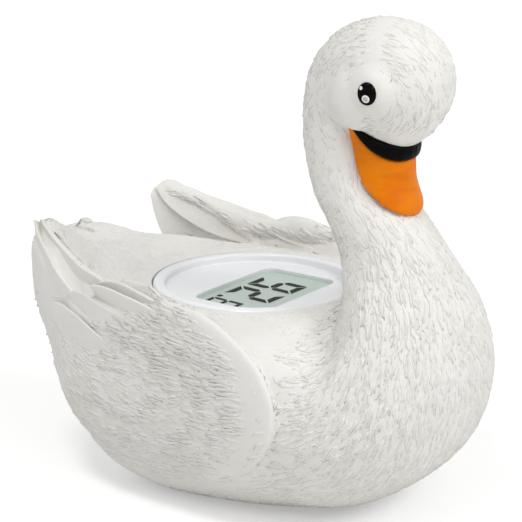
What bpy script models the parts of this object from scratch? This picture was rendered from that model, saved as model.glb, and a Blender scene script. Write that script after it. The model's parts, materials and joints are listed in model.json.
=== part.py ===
"""Floating bath thermometer in the shape of a swan, with a round display module in its back.

Metres, +Z up. The swan looks along +X, its left side is +Y, and it rests on its belly at Z = 0.
"""
import math

import bmesh
import bpy
import numpy as np
from mathutils import Matrix, Vector

for old in list(bpy.data.objects):
    bpy.data.objects.remove(old, do_unlink=True)

MM = 0.001

# Hull: the breast is the foremost point, the tail the rearmost
BREAST_FRONT = 0.0610
TAIL_REAR = -0.0662
TAIL_TIP_LENGTH = 0.0051
TAIL_TIP_HEIGHT = 0.0572
TAIL_HALF_WIDTH = 0.0125
HULL_HALF_WIDTH = 0.0392
BREAST_HEIGHT = 0.0360
DECK_HEIGHT = 0.0500
HULL_WALL = 0.0024
BELLY_FLAT = 0.0016

# Neck and head
NECK_RADIUS = 0.0102
HEAD_X = 0.0375
HEAD_Z = 0.1061
HEAD_RADIUS = 0.0146
CHEEK_SIZE = 0.0066
CHEEK_HEIGHT = 0.0086
CHEEK_BACK = 0.0046
CHEEK_BELOW = 0.0024
EYE_MOUND_SWELL = 0.0008

# Eyes
EYE_HALF_WIDTH = 0.0022
EYE_HALF_HEIGHT = 0.0026
EYE_HALF_DEPTH = 0.0011
EYE_FORWARD = 0.0029
EYE_ABOVE_CENTRE = -0.0003

# Beak and the black band above it
BEAK_FRONT = 0.0428
BEAK_ROOT_LENGTH = 0.0110
BEAK_ROOT_HALF_WIDTH = 0.0102
BEAK_ROOT_HEIGHT = 0.0880
BEAK_TIP_HEIGHT = 0.0742
BAND_RISE_AT_GAPE = 0.0088
BAND_PROUD = 0.0013
BEAK_PEG_RADIUS = 0.0022
BEAK_PEG_HEIGHT = 0.0100

# Wings: a curved outer face, a thickness, and how far each long feather stands proud
WING_FACE_CENTRE_X = 0.0080
WING_FACE_CENTRE_Z = 0.0320
WING_FACE_LENGTH = 0.0730
WING_FACE_WIDTH = 0.0412
WING_FACE_RISE = 0.2000
WING_FACE_DROP = 0.0430
WING_THICKNESS = 0.0052
WING_TIP_EXTRA = 0.0004
COVERT_STEP = 0.0009
FEATHER_STEP = 0.0009

# Display module, a stepped round housing that drops into the back
MODULE_X = -0.0012
RIM_RADIUS = 0.0262
RIM_PROUD = 0.0010
RIM_HEIGHT = DECK_HEIGHT + RIM_PROUD
RIM_WIDTH = 0.0031
RIM_THICKNESS = 0.0025
PANEL_DROP = 0.0016
PANEL_THICKNESS = 0.0014
MODULE_RADIUS = 0.0226
MODULE_WALL = 0.0013
SHOULDER_HEIGHT = 0.0340
SHOULDER_THICKNESS = 0.0016
STEM_RADIUS = 0.0170
STEM_FLOOR = 0.0016
STEM_FLOOR_THICKNESS = 0.0026
MODULE_SCREW_RING = 0.0191
MODULE_BOSS_RADIUS = 0.0018
SEAL_THICKNESS = 0.0006

# Display
WINDOW_X = 0.0015
WINDOW_LENGTH = 0.0218
WINDOW_WIDTH = 0.0326
WINDOW_CORNER = 0.0030
WINDOW_MARGIN = 0.0007
LENS_THICKNESS = 0.0009
LCD_THICKNESS = 0.0018
REFLECTOR_THICKNESS = 0.0003
ZEBRA_WIDTH = 0.0020
ZEBRA_HEIGHT = 0.0020
BOARD_THICKNESS = 0.0010
CHIP_SIZE = 0.0070
CHIP_THICKNESS = 0.0012

# Battery compartment in the foot of the stem
CELL_RADIUS = 0.0100
CELL_THICKNESS = 0.0032
CELL_CLEARANCE = 0.0010
CELL_RING_WALL = 0.0011
COVER_LAP = 0.0013
COVER_THICKNESS = 0.0010
COVER_SCREW_RING = 0.0128
COVER_EAR_RADIUS = 0.0026
COVER_BOSS_HEIGHT = 0.0045
CONTACT_THICKNESS = 0.0004
CONTACT_WIDTH = 0.0035
WATER_CONTACT_RADIUS = 0.0009
SENSOR_RADIUS = 0.0014
SENSOR_RING = 0.0135

# Screws
SCREW_SHANK_RADIUS = 0.0008
SCREW_HEAD_RADIUS = 0.0015
SCREW_HEAD_THICKNESS = 0.0011

# Clearance between neighbouring pieces, and mesh fineness
GAP = 0.0003
CUTTER_REACH = 0.0100
PORT_CUT_HEIGHT = 0.0080
HULL_STATIONS = 45
HULL_AROUND = 26
ROUND_SEGMENTS = 30
SMALL_SEGMENTS = 10


def material(name, colour, roughness, metallic=0.0):
    made = bpy.data.materials.new(name)
    made.use_nodes = True
    shader = made.node_tree.nodes["Principled BSDF"]
    shader.inputs["Base Color"].default_value = (*colour, 1.0)
    shader.inputs["Roughness"].default_value = roughness
    shader.inputs["Metallic"].default_value = metallic
    return made


def add_object(name, mesh_builder, finish=None):
    """Turn a bmesh into a named object with outward faces."""
    bmesh.ops.recalc_face_normals(mesh_builder, faces=mesh_builder.faces)
    mesh = bpy.data.meshes.new(name)
    mesh_builder.to_mesh(mesh)
    mesh_builder.free()
    made = bpy.data.objects.new(name, mesh)
    bpy.context.scene.collection.objects.link(made)
    if finish is not None:
        mesh.materials.append(finish)
    return made


def combine(target, other, operation):
    """Add a Boolean with another object, which is kept as a hidden working shape."""
    modifier = target.modifiers.new(operation.title() + " " + other.name, "BOOLEAN")
    modifier.operation = operation
    modifier.solver = "EXACT"
    modifier.object = other
    other.hide_render = True
    other.display_type = "WIRE"


def cut(target, *others):
    for other in others:
        combine(target, other, "DIFFERENCE")


def join(target, *others):
    for other in others:
        combine(target, other, "UNION")


def skin(rings, close_start=True, close_end=True, fan=False):
    """Close a list of rings of points into a solid. A fan closes an end that isn't flat."""
    made = bmesh.new()
    rows = [[made.verts.new(point) for point in ring] for ring in rings]
    count = len(rings[0])
    for row, after in zip(rows, rows[1:]):
        for i in range(count):
            j = (i + 1) % count
            made.faces.new((row[i], row[j], after[j], after[i]))
    for wanted, row in ((close_start, rows[0]), (close_end, rows[-1])):
        if wanted and not fan:
            made.faces.new(row)
        elif wanted:
            middle = made.verts.new(sum((vertex.co for vertex in row), Vector()) / count)
            for i in range(count):
                made.faces.new((row[i], row[(i + 1) % count], middle))
    return made


def revolved(profile, x=0.0, y=0.0, segments=ROUND_SEGMENTS):
    """Turn a closed (radius, height) outline round an upright axis."""
    rings = []
    for step in range(segments):
        turn = 2 * math.pi * (step + 0.5) / segments
        rings.append([(x + r * math.cos(turn), y + r * math.sin(turn), z) for r, z in profile])
    made = skin(rings + [rings[0]], False, False)
    bmesh.ops.remove_doubles(made, verts=made.verts, dist=1e-7)
    loose = [edge for edge in made.edges if not edge.link_faces]
    bmesh.ops.delete(made, geom=loose, context="EDGES")
    return made


def disc(x, y, radius, low, high, segments=ROUND_SEGMENTS):
    turns = [2 * math.pi * (i + 0.5) / segments for i in range(segments)]
    return skin([[(x + radius * math.cos(t), y + radius * math.sin(t), z) for t in turns] for z in (low, high)])


def block(x, y, low, length, width, height):
    made = bmesh.new()
    bmesh.ops.create_cube(made, size=1.0)
    bmesh.ops.scale(made, vec=(length, width, height), verts=made.verts)
    bmesh.ops.translate(made, vec=(x, y, low + height / 2), verts=made.verts)
    return made


def rounded_slab(x, length, width, corner, low, high, steps=6):
    """A flat rectangle with round corners, centred on y = 0."""
    outline = []
    for quarter, (sx, sy) in enumerate(((1, 1), (-1, 1), (-1, -1), (1, -1))):
        for i in range(steps + 1):
            turn = (quarter + i / steps) * math.pi / 2
            outline.append((x + sx * (length / 2 - corner) + corner * math.cos(turn),
                            sy * (width / 2 - corner) + corner * math.sin(turn)))
    return skin([[(px, py, z) for px, py in outline] for z in (low, high)])


def smooth_rows(rows, count, spacing_columns=(0, 1, 2, 3)):
    """Run a smooth curve through the rows of design values and read it at even steps."""
    rows = np.array(rows, float)
    gaps = np.linalg.norm(np.diff(rows[:, list(spacing_columns)], axis=0), axis=1)
    along = np.concatenate(([0.0], np.cumsum(gaps)))
    slopes = np.gradient(rows, along, axis=0)
    result = []
    for place in np.linspace(0.0, along[-1], count):
        i = min(int(np.searchsorted(along, place, side="right")) - 1, len(rows) - 2)
        span = along[i + 1] - along[i]
        t = (place - along[i]) / span
        result.append((2 * t**3 - 3 * t**2 + 1) * rows[i] + (t**3 - 2 * t**2 + t) * span * slopes[i]
                      + (3 * t**2 - 2 * t**3) * rows[i + 1] + (t**3 - t**2) * span * slopes[i + 1])
    return result


def signed_power(value, power):
    return math.copysign(abs(value) ** power, value)


# Swan's torso, neck and head

def swan_stations():
    """Design sections from the tail to the forehead.

    Each holds the back point (x, z), the belly point (x, z), the half width, how far up the widest
    level lies, and how square the upper and the lower half are.
    """
    w, deck, front = HULL_HALF_WIDTH, DECK_HEIGHT, BREAST_FRONT
    n, hx, hz, hr = NECK_RADIUS, HEAD_X, HEAD_Z, HEAD_RADIUS
    tail, tip, flat = TAIL_REAR + TAIL_TIP_LENGTH, TAIL_TIP_HEIGHT, BELLY_FLAT
    return [
        (TAIL_REAR, tip, TAIL_REAR + 0.6 * MM, tip - 1.8 * MM, 0.55 * TAIL_HALF_WIDTH, 0.5, 2.2, 2.2),
        (tail, tip - 0.9 * MM, tail + 1.0 * MM, tip - 4.8 * MM, 0.95 * TAIL_HALF_WIDTH, 0.5, 2.3, 2.2),
        (tail + 8 * MM, tip - 4.8 * MM, tail + 9 * MM, tip - 10.6 * MM, TAIL_HALF_WIDTH + 5 * MM, 0.6, 2.5, 2.2),
        (tail + 18 * MM, deck + 0.5 * MM, tail + 16.5 * MM, 0.60 * deck, 0.70 * w, 0.66, 2.9, 2.3),
        (tail + 28 * MM, deck, tail + 23 * MM, 0.27 * deck, 0.88 * w, 0.66, 3.4, 2.6),
        (tail + 40 * MM, deck, tail + 33 * MM, 0.06 * deck, 0.98 * w, 0.66, 3.8, 3.0),
        (tail + 54 * MM, deck, tail + 47 * MM, 0.2 * MM - flat, w, 0.66, 4.0, 3.0),
        (tail + 68 * MM, deck, tail + 66 * MM, -flat, w, 0.66, 4.0, 2.7),
        (tail + 79 * MM, deck, tail + 85 * MM, 0.8 * MM - 0.6 * flat, 0.99 * w, 0.66, 3.8, 2.25),
        (front - 36 * MM, deck + 0.6 * MM, front - 20 * MM, 5.0 * MM, 0.93 * w, 0.64, 3.2, 2.3),
        (front - 33.2 * MM, deck + 2.6 * MM, front - 5.4 * MM, 0.5 * BREAST_HEIGHT, 0.80 * w, 0.60, 2.6, 2.3),
        (front - 32.6 * MM, deck + 5.6 * MM, front, BREAST_HEIGHT, 0.66 * w, 0.55, 2.3, 2.2),
        (front - 33.6 * MM, deck + 9.5 * MM, front - 2.2 * MM, BREAST_HEIGHT + 15.5 * MM, 0.505 * w, 0.5, 2.1, 2.1),
        (front - 36.0 * MM, deck + 14.5 * MM, front - 8.8 * MM, BREAST_HEIGHT + 29 * MM, 1.33 * n, 0.5, 2.0, 2.0),
        (front - 39.6 * MM, deck + 20.5 * MM, front - 16.4 * MM, BREAST_HEIGHT + 39.0 * MM, 1.16 * n, 0.5, 2.0, 2.0),
        (hx - 20.2 * MM, hz - 27.5 * MM, hx - 0.8 * MM, hz - 22.6 * MM, 1.07 * n, 0.5, 2.0, 2.0),
        (hx - 23.0 * MM, hz - 17.0 * MM, hx - 2.4 * MM, hz - 16.2 * MM, 1.0 * n, 0.5, 2.0, 2.0),
        (hx - 22.8 * MM, hz - 6.5 * MM, hx - 3.2 * MM, hz - 14.0 * MM, 1.02 * n, 0.5, 2.0, 2.0),
        (hx - 19.6 * MM, hz + 4.2 * MM, hx - 2.4 * MM, hz - 13.8 * MM, 0.80 * hr, 0.5, 2.0, 2.0),
        (hx - 12.4 * MM, hz + 11.6 * MM, hx - 0.6 * MM, hz - 14.2 * MM, 0.93 * hr, 0.5, 2.0, 2.0),
        (hx - 2.4 * MM, hz + 14.7 * MM, hx + 2.0 * MM, hz - 14.4 * MM, hr, 0.5, 2.0, 2.0),
        (hx + 6.0 * MM, hz + 13.4 * MM, hx + 6.4 * MM, hz - 13.1 * MM, 0.91 * hr, 0.5, 2.0, 2.0),
        (hx + 11.2 * MM, hz + 9.4 * MM, hx + 11.2 * MM, hz - 9.3 * MM, 0.65 * hr, 0.5, 2.0, 2.0),
        (hx + 13.8 * MM, hz + 5.0 * MM, hx + 13.8 * MM, hz - 5.1 * MM, 0.34 * hr, 0.5, 2.0, 2.0),
        (hx + 14.5 * MM, hz + 1.6 * MM, hx + 14.5 * MM, hz - 1.6 * MM, 0.11 * hr, 0.5, 2.0, 2.0),
    ]


def section(station, grow, around):
    """One closed ring of the swan's skin, made larger all round by grow."""
    back = np.array(station[0:2])
    belly = np.array(station[2:4])
    half_width, widest, upper, lower = station[4:8]
    height = float(np.linalg.norm(back - belly))
    up = (back - belly) / height
    centre = belly + widest * height * up
    ring = []
    for i in range(around):
        turn = 2 * math.pi * i / around
        power = 2 / (upper if math.sin(turn) > 0 else lower)
        reach = ((1 - widest) if math.sin(turn) > 0 else widest) * height + grow
        side = (half_width + grow) * signed_power(math.cos(turn), power)
        x, z = centre + reach * signed_power(math.sin(turn), power) * up
        ring.append(Vector((x, side, z)))
    return ring


def swell_head(ring):
    """The smooth mounds that carry the eyes."""
    centre = Vector((HEAD_X, 0.0, HEAD_Z))
    mound = Vector((EYE_FORWARD, 0.94 * HEAD_RADIUS, EYE_ABOVE_CENTRE))
    result = []
    for point in ring:
        offset = point - centre
        if offset.length < 1.6 * HEAD_RADIUS:
            mirrored = Vector((offset.x, abs(offset.y), offset.z))
            rise = EYE_MOUND_SWELL * math.exp(-(mirrored - mound).length_squared / (4.2 * MM)**2)
            point = point + offset.normalized() * rise
        result.append(point)
    return result


def ellipsoid(name, place, radii, around=16, rows=10, turn=None, finish=None):
    ball = bmesh.new()
    bmesh.ops.create_uvsphere(ball, u_segments=around, v_segments=rows, radius=1.0)
    matrix = Matrix.Translation(place) @ (turn or Matrix.Identity(4)) @ Matrix.Diagonal((*radii, 1.0))
    bmesh.ops.transform(ball, matrix=matrix, verts=ball.verts)
    return add_object(name, ball, finish)


def swan_shape(name, grow=0.0, stations=HULL_STATIONS, around=HULL_AROUND, rows_used=slice(None)):
    rows = swan_stations()[rows_used]
    rings = [section(row, grow, around) for row in smooth_rows(rows, stations)]
    return add_object(name, skin([swell_head(ring) for ring in rings], fan=True))


# Wings

def wing_face(x, z, grow=0.0):
    """Distance of the wing's outer face from the middle plane."""
    above = z - WING_FACE_CENTRE_Z
    upright = above / (WING_FACE_RISE if above > 0 else WING_FACE_DROP)
    across = abs((x - WING_FACE_CENTRE_X) / WING_FACE_LENGTH) ** 3 + upright**2
    return WING_FACE_WIDTH * math.sqrt(max(1 - across, 0.05)) + grow


def smooth_outline(points, count):
    return smooth_rows([(x * MM, z * MM) for x, z in points], count, (0, 1))


def wing_outline():
    """Side view of the folded wing, from its tip over the top edge and round the front."""
    return smooth_outline([(-51.2, 65.1), (-47.8, 64.3), (-42.8, 62.3), (-32.0, 58.8), (-23.4, 56.8), (-18.4, 56.8),
                           (-13.2, 57.9), (-1.0, 56.4), (10.5, 55.0), (20.4, 50.4), (28.2, 43.4), (31.4, 36.0),
                           (30.6, 28.0), (25.5, 19.6), (16.0, 13.0), (4.0, 10.0), (-9.0, 8.8), (-20.0, 9.8),
                           (-28.0, 12.8), (-36.0, 18.6), (-44.6, 28.6), (-50.0, 38.0), (-53.0, 50.0), (-53.6, 60.0),
                           (-53.0, 64.0)], 42)


def covert_outline():
    """The raised front field of the wing, which the short strokes cover."""
    return smooth_outline([(-22.0, 51.5), (-16.0, 54.6), (-6.0, 54.8), (4.0, 54.2), (12.0, 52.2), (20.5, 47.4),
                           (27.0, 41.2), (29.6, 35.0), (28.8, 28.0), (24.0, 20.6), (15.0, 14.8), (3.0, 12.2),
                           (-9.0, 13.4), (-18.0, 18.6), (-24.5, 27.0), (-27.0, 37.0), (-25.5, 46.0)], 34)


def pillow(name, outline, side, lift, depth, offset, levels=(1.0, 0.93, 0.72, 0.4)):
    """A leaf-like slab on the wing's face: full height in the middle and rounded down to its edge.

    The lift, the depth and the offset outwards are functions of x and z.
    """
    centre = np.mean(np.array(outline), axis=0)
    rings = []
    for sign, reach in ((1, lift), (-1, depth)):
        rows = []
        for level in levels:
            fullness = (1 - level**6) ** 0.5 if level < 1 else 0.0
            ring = []
            for point in outline:
                x, z = centre + level * (point - centre)
                y = wing_face(x, z) + offset(x, z) + sign * reach(x, z) * fullness
                ring.append((x, side * y, z))
            rows.append(ring)
        rings.append(rows)
    outer, inner = rings
    return add_object(name, skin(outer[::-1] + inner[1:], fan=True))


def feather_outline(root, tip, half_width, steps=7):
    """A leaf in the side view, broad near its root and narrowed to a soft tip."""
    root, tip = np.array(root) * MM, np.array(tip) * MM
    along = tip - root
    across = np.array((-along[1], along[0])) / np.linalg.norm(along)
    upper, lower = [], []
    for i in range(steps + 1):
        t = i / steps
        width = half_width * MM * math.sin(math.pi * min(t * 0.52 + 0.44, 0.985)) ** 0.75
        if i == steps:
            width = 0.18 * half_width * MM
        centre = root + along * t
        upper.append(centre + across * width)
        lower.append(centre - across * width)
    return upper + lower[::-1]


def build_wing(body, side, label):
    """The folded wing, and its long feathers, whose roots sink into it and whose tips stand proud."""
    thick = WING_THICKNESS

    def tip_depth(x, z):
        return 0.65 * thick + WING_TIP_EXTRA * min(max((-x - 22 * MM) / (28 * MM), 0.0), 1.0)

    wing = pillow("wing_" + label, wing_outline(), side, lambda x, z: 0.35 * thick, tip_depth,
                  lambda x, z: -0.35 * thick)
    coverts = pillow("coverts_" + label, covert_outline(), side, lambda x, z: 0.35 * thick + COVERT_STEP,
                     lambda x, z: 0.3 * thick, lambda x, z: -0.35 * thick, levels=(1.0, 0.95, 0.8, 0.45))
    join(body, wing, coverts)
    feathers = (((-27, 38), (-51.8, 63.4), 6.6, 1.0, 1.8), ((-19, 30), (-36.0, 49.6), 6.0, 1.6, 2.4),
                ((-8, 42), (-29.2, 53.4), 4.8, 2.1, 2.6), ((-3, 49), (-23.0, 56.0), 3.0, 2.5, 2.6))
    for number, (root, tip, half_width, step, sink) in enumerate(feathers):
        start, along = np.array(root) * MM, (np.array(tip) - np.array(root)) * MM

        def proud(x, z, start=start, along=along, step=step, sink=sink):
            share = float(np.dot(np.array((x, z)) - start, along) / np.dot(along, along))
            return FEATHER_STEP * (step - sink * max(1 - 1.5 * share, 0.0)) - 1.2 * MM

        shape = pillow("feather_%s_%d" % (label, number), feather_outline(root, tip, half_width), side,
                       lambda x, z: 1.0 * MM, lambda x, z: 1.6 * MM, proud, levels=(1.0, 0.9, 0.55))
        join(body, shape)


# Beak

def band_edge(x):
    """Height of the lower edge of the black band, which sweeps up to the corners of the mouth."""
    share = max(0.0, (BEAK_FRONT + 0.9 * MM - x) / (BEAK_ROOT_LENGTH + 0.5 * MM))
    return BEAK_ROOT_HEIGHT + BAND_RISE_AT_GAPE * share ** 1.6


def beak_ring(front, centre, half_width, height, grow=0.0, around=28):
    """A level outline, round in front and flat behind. The height is a function of x and y."""
    ring = []
    for i in range(around):
        turn = 2 * math.pi * (i + 0.5) / around
        reach = (front - centre + grow) * (1.0 if math.cos(turn) > 0 else 0.22)
        x = centre + reach * math.cos(turn)
        y = (half_width + grow) * math.sin(turn)
        ring.append((x, y, height(x, y)))
    return ring


def layered(rings):
    """Close rings that are mirrored in y, with end faces that run straight across."""
    made = skin(rings, False, False)
    made.verts.ensure_lookup_table()
    count = len(rings[0])
    for first in (0, (len(rings) - 1) * count):
        for i in range(count // 2 - 1):
            corners = (i, i + 1, count - 2 - i, count - 1 - i)
            made.faces.new([made.verts[first + corner] for corner in corners])
    return made


def beak_shape(name):
    root, tip, front = BEAK_ROOT_HEIGHT - GAP, BEAK_TIP_HEIGHT, BEAK_FRONT
    wide, long = BEAK_ROOT_HALF_WIDTH, BEAK_ROOT_HEIGHT - GAP - BEAK_TIP_HEIGHT
    centre = front - BEAK_ROOT_LENGTH
    rows = [(root, front, centre, wide, 1.0),
            (root - 0.14 * long, front + 0.2 * MM, centre + 0.6 * MM, 0.88 * wide, 0.72),
            (root - 0.33 * long, front + 0.4 * MM, centre + 2.1 * MM, 0.75 * wide, 0.3),
            (root - 0.56 * long, front + 1.4 * MM, centre + 4.8 * MM, 0.64 * wide, 0.05),
            (root - 0.72 * long, front + 2.3 * MM, centre + 6.7 * MM, 0.57 * wide, 0.0),
            (root - 0.86 * long, front + 2.5 * MM, centre + 8.3 * MM, 0.48 * wide, 0.0),
            (root - 0.95 * long, front + 2.1 * MM, centre + 9.5 * MM, 0.36 * wide, 0.0),
            (tip, front + 1.6 * MM, centre + 10.6 * MM, 0.20 * wide, 0.0)]
    rings = []
    for z, nose, middle, half_width, share in smooth_rows(rows, 14, (0, 1)):
        rings.append(beak_ring(nose, middle, half_width,
                               lambda x, y, z=z, share=share: z + share * (band_edge(x) - BEAK_ROOT_HEIGHT)))
    return add_object(name, layered(rings), ORANGE)


def band_shape(name):
    """The black band, a rounded lip between its lower edge and the ball of the head."""
    rings = []
    for level, swell in ((0.0, 0.25), (0.12, 0.7), (0.35, 1.0), (0.65, 1.0), (0.88, 0.65), (1.0, 0.15)):
        def height(x, y, level=level):
            low = band_edge(x)
            inside = HEAD_RADIUS**2 - (x - HEAD_X) ** 2 - y**2
            top = HEAD_Z - math.sqrt(max(inside, 0.0))
            return low + level * max(top - low, 0.1 * MM)
        rings.append(beak_ring(BEAK_FRONT, BEAK_FRONT - BEAK_ROOT_LENGTH, BEAK_ROOT_HALF_WIDTH, height,
                               swell * BAND_PROUD))
    return add_object(name, layered(rings), BLACK)


# Materials

WHITE_SKIN = material("White moulded skin", (0.84, 0.82, 0.78), 0.55)
ORANGE = material("Orange beak", (0.80, 0.27, 0.03), 0.35)
BLACK = material("Black gloss", (0.012, 0.012, 0.014), 0.22)
COOL_WHITE = material("Cool white gloss", (0.86, 0.87, 0.89), 0.18)
CLEAR = material("Clear window", (0.90, 0.93, 0.93), 0.05)
DISPLAY_GREEN = material("Display glass", (0.56, 0.66, 0.58), 0.25)
FOIL = material("Reflector foil", (0.70, 0.72, 0.70), 0.3, 0.8)
RUBBER = material("Seal rubber", (0.05, 0.05, 0.05), 0.7)
BOARD_GREEN = material("Board green", (0.04, 0.22, 0.10), 0.45)
CHIP_BLACK = material("Chip black", (0.02, 0.02, 0.02), 0.5)
STEEL = material("Bright steel", (0.62, 0.62, 0.60), 0.3, 1.0)
BRASS = material("Contact brass", (0.72, 0.55, 0.25), 0.35, 1.0)
GREY = material("Grey moulding", (0.55, 0.56, 0.57), 0.5)

# Levels of the module, from the rim down
panel_top = RIM_HEIGHT - PANEL_DROP
panel_low = panel_top - PANEL_THICKNESS
flange_low = RIM_HEIGHT - RIM_THICKNESS
seat_height = flange_low - 2 * GAP - SEAL_THICKNESS
lens_top = panel_low - GAP
lens_low = lens_top - LENS_THICKNESS
lcd_top = lens_low - GAP
lcd_low = lcd_top - LCD_THICKNESS
reflector_top = lcd_low - GAP
zebra_top = lcd_low - GAP
board_top = zebra_top - ZEBRA_HEIGHT - GAP
board_low = board_top - BOARD_THICKNESS
skirt_low = board_top + 2 * GAP
bore_radius = MODULE_RADIUS + GAP
floor_top = STEM_FLOOR + STEM_FLOOR_THICKNESS
recess_top = STEM_FLOOR + COVER_THICKNESS + SEAL_THICKNESS + 2 * GAP
cell_low = floor_top + GAP
cell_top = cell_low + CELL_THICKNESS
ring_inner = CELL_RADIUS + CELL_CLEARANCE
ring_outer = ring_inner + CELL_RING_WALL
cover_radius = CELL_RADIUS + COVER_LAP
cell_opening = CELL_RADIUS + GAP

# Swan body: one moulding, hollow in the hull, open at the deck and at the belly
swan_body = swan_shape("swan_body")
swan_body.data.materials.append(WHITE_SKIN)
for side, label in ((1, "left"), (-1, "right")):
    build_wing(swan_body, side, label)
belly_trim = add_object("belly_trim", block(0, 0, -CUTTER_REACH, 4 * BREAST_FRONT, 4 * HULL_HALF_WIDTH, CUTTER_REACH))
cut(swan_body, belly_trim)
hollow = swan_shape("hull_hollow", -HULL_WALL, 22, 24, slice(2, 13))
cut(swan_body, hollow)
deck_cutter_profile = [(0.0, DECK_HEIGHT / 2), (bore_radius, DECK_HEIGHT / 2), (bore_radius, seat_height),
                       (RIM_RADIUS + GAP, seat_height), (RIM_RADIUS + GAP, RIM_HEIGHT + 2 * MM), (0.0, RIM_HEIGHT + 2 * MM)]
cut(swan_body, add_object("deck_cutter", revolved(deck_cutter_profile, MODULE_X)))
cut(swan_body, add_object("belly_port_cutter", disc(MODULE_X, 0, STEM_RADIUS + GAP, -CUTTER_REACH, PORT_CUT_HEIGHT)))

# Cheeks that overhang the neck
for side, label in ((1, "left"), (-1, "right")):
    place = Vector((HEAD_X - CHEEK_BACK, side * (HEAD_RADIUS - 0.97 * CHEEK_SIZE), HEAD_Z - CHEEK_BELOW))
    join(swan_body, ellipsoid("cheek_" + label, place, (CHEEK_SIZE, CHEEK_SIZE, CHEEK_HEIGHT)))

# Beak and band, fitted under the head and against the neck
head_clearance = swan_shape("head_clearance", GAP)
peg_x = HEAD_X + 3.0 * MM
peg_low = BEAK_ROOT_HEIGHT - 1.5 * MM
peg_high = peg_low + BEAK_PEG_HEIGHT
beak = beak_shape("beak")
cut(beak, head_clearance)
join(beak, add_object("beak_peg", disc(peg_x, 0, BEAK_PEG_RADIUS, peg_low, peg_high, SMALL_SEGMENTS)))
beak_band = band_shape("beak_band")
peg_hole = add_object("peg_hole_cutter", disc(peg_x, 0, BEAK_PEG_RADIUS + GAP, peg_low - MM, peg_high + GAP,
                                              SMALL_SEGMENTS))
cut(beak_band, head_clearance, peg_hole)
for side, label in ((1, "left"), (-1, "right")):
    place = Vector((HEAD_X - CHEEK_BACK, side * (HEAD_RADIUS - 0.97 * CHEEK_SIZE), HEAD_Z - CHEEK_BELOW))
    radii = (CHEEK_SIZE + GAP, CHEEK_SIZE + GAP, CHEEK_HEIGHT + GAP)
    cut(beak_band, ellipsoid("cheek_clearance_" + label, place, radii))
    cut(beak, bpy.data.objects["cheek_clearance_" + label])
cut(swan_body, peg_hole)

# Eyes, each in a shallow socket on its mound
for side, label in ((1, "left"), (-1, "right")):
    outward = Vector((EYE_FORWARD, side * HEAD_RADIUS, EYE_ABOVE_CENTRE)).normalized()
    place = Vector((HEAD_X, 0, HEAD_Z)) + outward * (HEAD_RADIUS + 0.4 * EYE_MOUND_SWELL)
    turn = outward.to_track_quat("Y", "Z").to_matrix().to_4x4()
    ellipsoid("eye_" + label, place, (EYE_HALF_WIDTH, EYE_HALF_DEPTH, EYE_HALF_HEIGHT), turn=turn, finish=BLACK)
    radii = (EYE_HALF_WIDTH + GAP, EYE_HALF_DEPTH + GAP, EYE_HALF_HEIGHT + GAP)
    cut(swan_body, ellipsoid("eye_socket_" + label, place, radii, turn=turn))

# Module bezel: rim, sunk panel with the window, skirt and three screw bosses
inner = RIM_RADIUS - RIM_WIDTH
skirt_inner = MODULE_RADIUS - MODULE_WALL
bevel = 0.4 * MM
bezel_profile = [(RIM_RADIUS, flange_low), (RIM_RADIUS, RIM_HEIGHT - 2 * bevel), (RIM_RADIUS - bevel, RIM_HEIGHT - bevel / 2),
                 (RIM_RADIUS - 2.5 * bevel, RIM_HEIGHT), (inner + bevel, RIM_HEIGHT - bevel / 2),
                 (inner, RIM_HEIGHT - 2 * bevel), (inner - bevel, panel_top), (0.0, panel_top), (0.0, panel_low),
                 (skirt_inner, panel_low), (skirt_inner, skirt_low), (MODULE_RADIUS, skirt_low),
                 (MODULE_RADIUS, flange_low)]
module_bezel = add_object("module_bezel", revolved(bezel_profile, MODULE_X), COOL_WHITE)
window_cutter = add_object("window_cutter", rounded_slab(WINDOW_X, WINDOW_LENGTH, WINDOW_WIDTH, WINDOW_CORNER,
                                                         panel_low - MM, RIM_HEIGHT + MM))
cut(module_bezel, window_cutter)
boss_places = [(MODULE_X + MODULE_SCREW_RING * math.cos(math.radians(a)), MODULE_SCREW_RING * math.sin(math.radians(a)))
               for a in (0, 150, 210)]
shank_top = board_top + 2.2 * MM
boss_low = SHOULDER_HEIGHT + GAP
boss_shoulder = MODULE_BOSS_RADIUS + 0.7 * MM
boss_bore = SCREW_SHANK_RADIUS + GAP
boss_profile = [(boss_shoulder, panel_low + 0.5 * MM), (boss_shoulder, board_top + GAP),
                (MODULE_BOSS_RADIUS, board_top + GAP), (MODULE_BOSS_RADIUS, boss_low), (boss_bore, boss_low),
                (boss_bore, shank_top + GAP), (0.0, shank_top + GAP), (0.0, panel_low + 0.5 * MM)]
for number, (x, y) in enumerate(boss_places, 1):
    join(module_bezel, add_object("bezel_boss_%d" % number, revolved(boss_profile, x, y, SMALL_SEGMENTS)))

# Display stack under the window
margin = 2 * WINDOW_MARGIN
for name, top, low, finish in (("display_window", lens_top, lens_low, CLEAR), ("lcd_panel", lcd_top, lcd_low, DISPLAY_GREEN)):
    add_object(name, rounded_slab(WINDOW_X, WINDOW_LENGTH + margin, WINDOW_WIDTH + margin, WINDOW_CORNER + WINDOW_MARGIN,
                                  low, top), finish)
zebra_x = WINDOW_X - WINDOW_LENGTH / 2 + ZEBRA_WIDTH / 2
add_object("zebra_strip", block(zebra_x, 0, board_top + GAP, ZEBRA_WIDTH, WINDOW_WIDTH - 2 * WINDOW_CORNER, ZEBRA_HEIGHT), RUBBER)
foil_rear = zebra_x + ZEBRA_WIDTH / 2 + GAP
foil_front = WINDOW_X + WINDOW_LENGTH / 2
add_object("lcd_reflector", block((foil_rear + foil_front) / 2, 0, reflector_top - REFLECTOR_THICKNESS,
                                  foil_front - foil_rear, WINDOW_WIDTH - 2 * WINDOW_CORNER, REFLECTOR_THICKNESS), FOIL)

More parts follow.
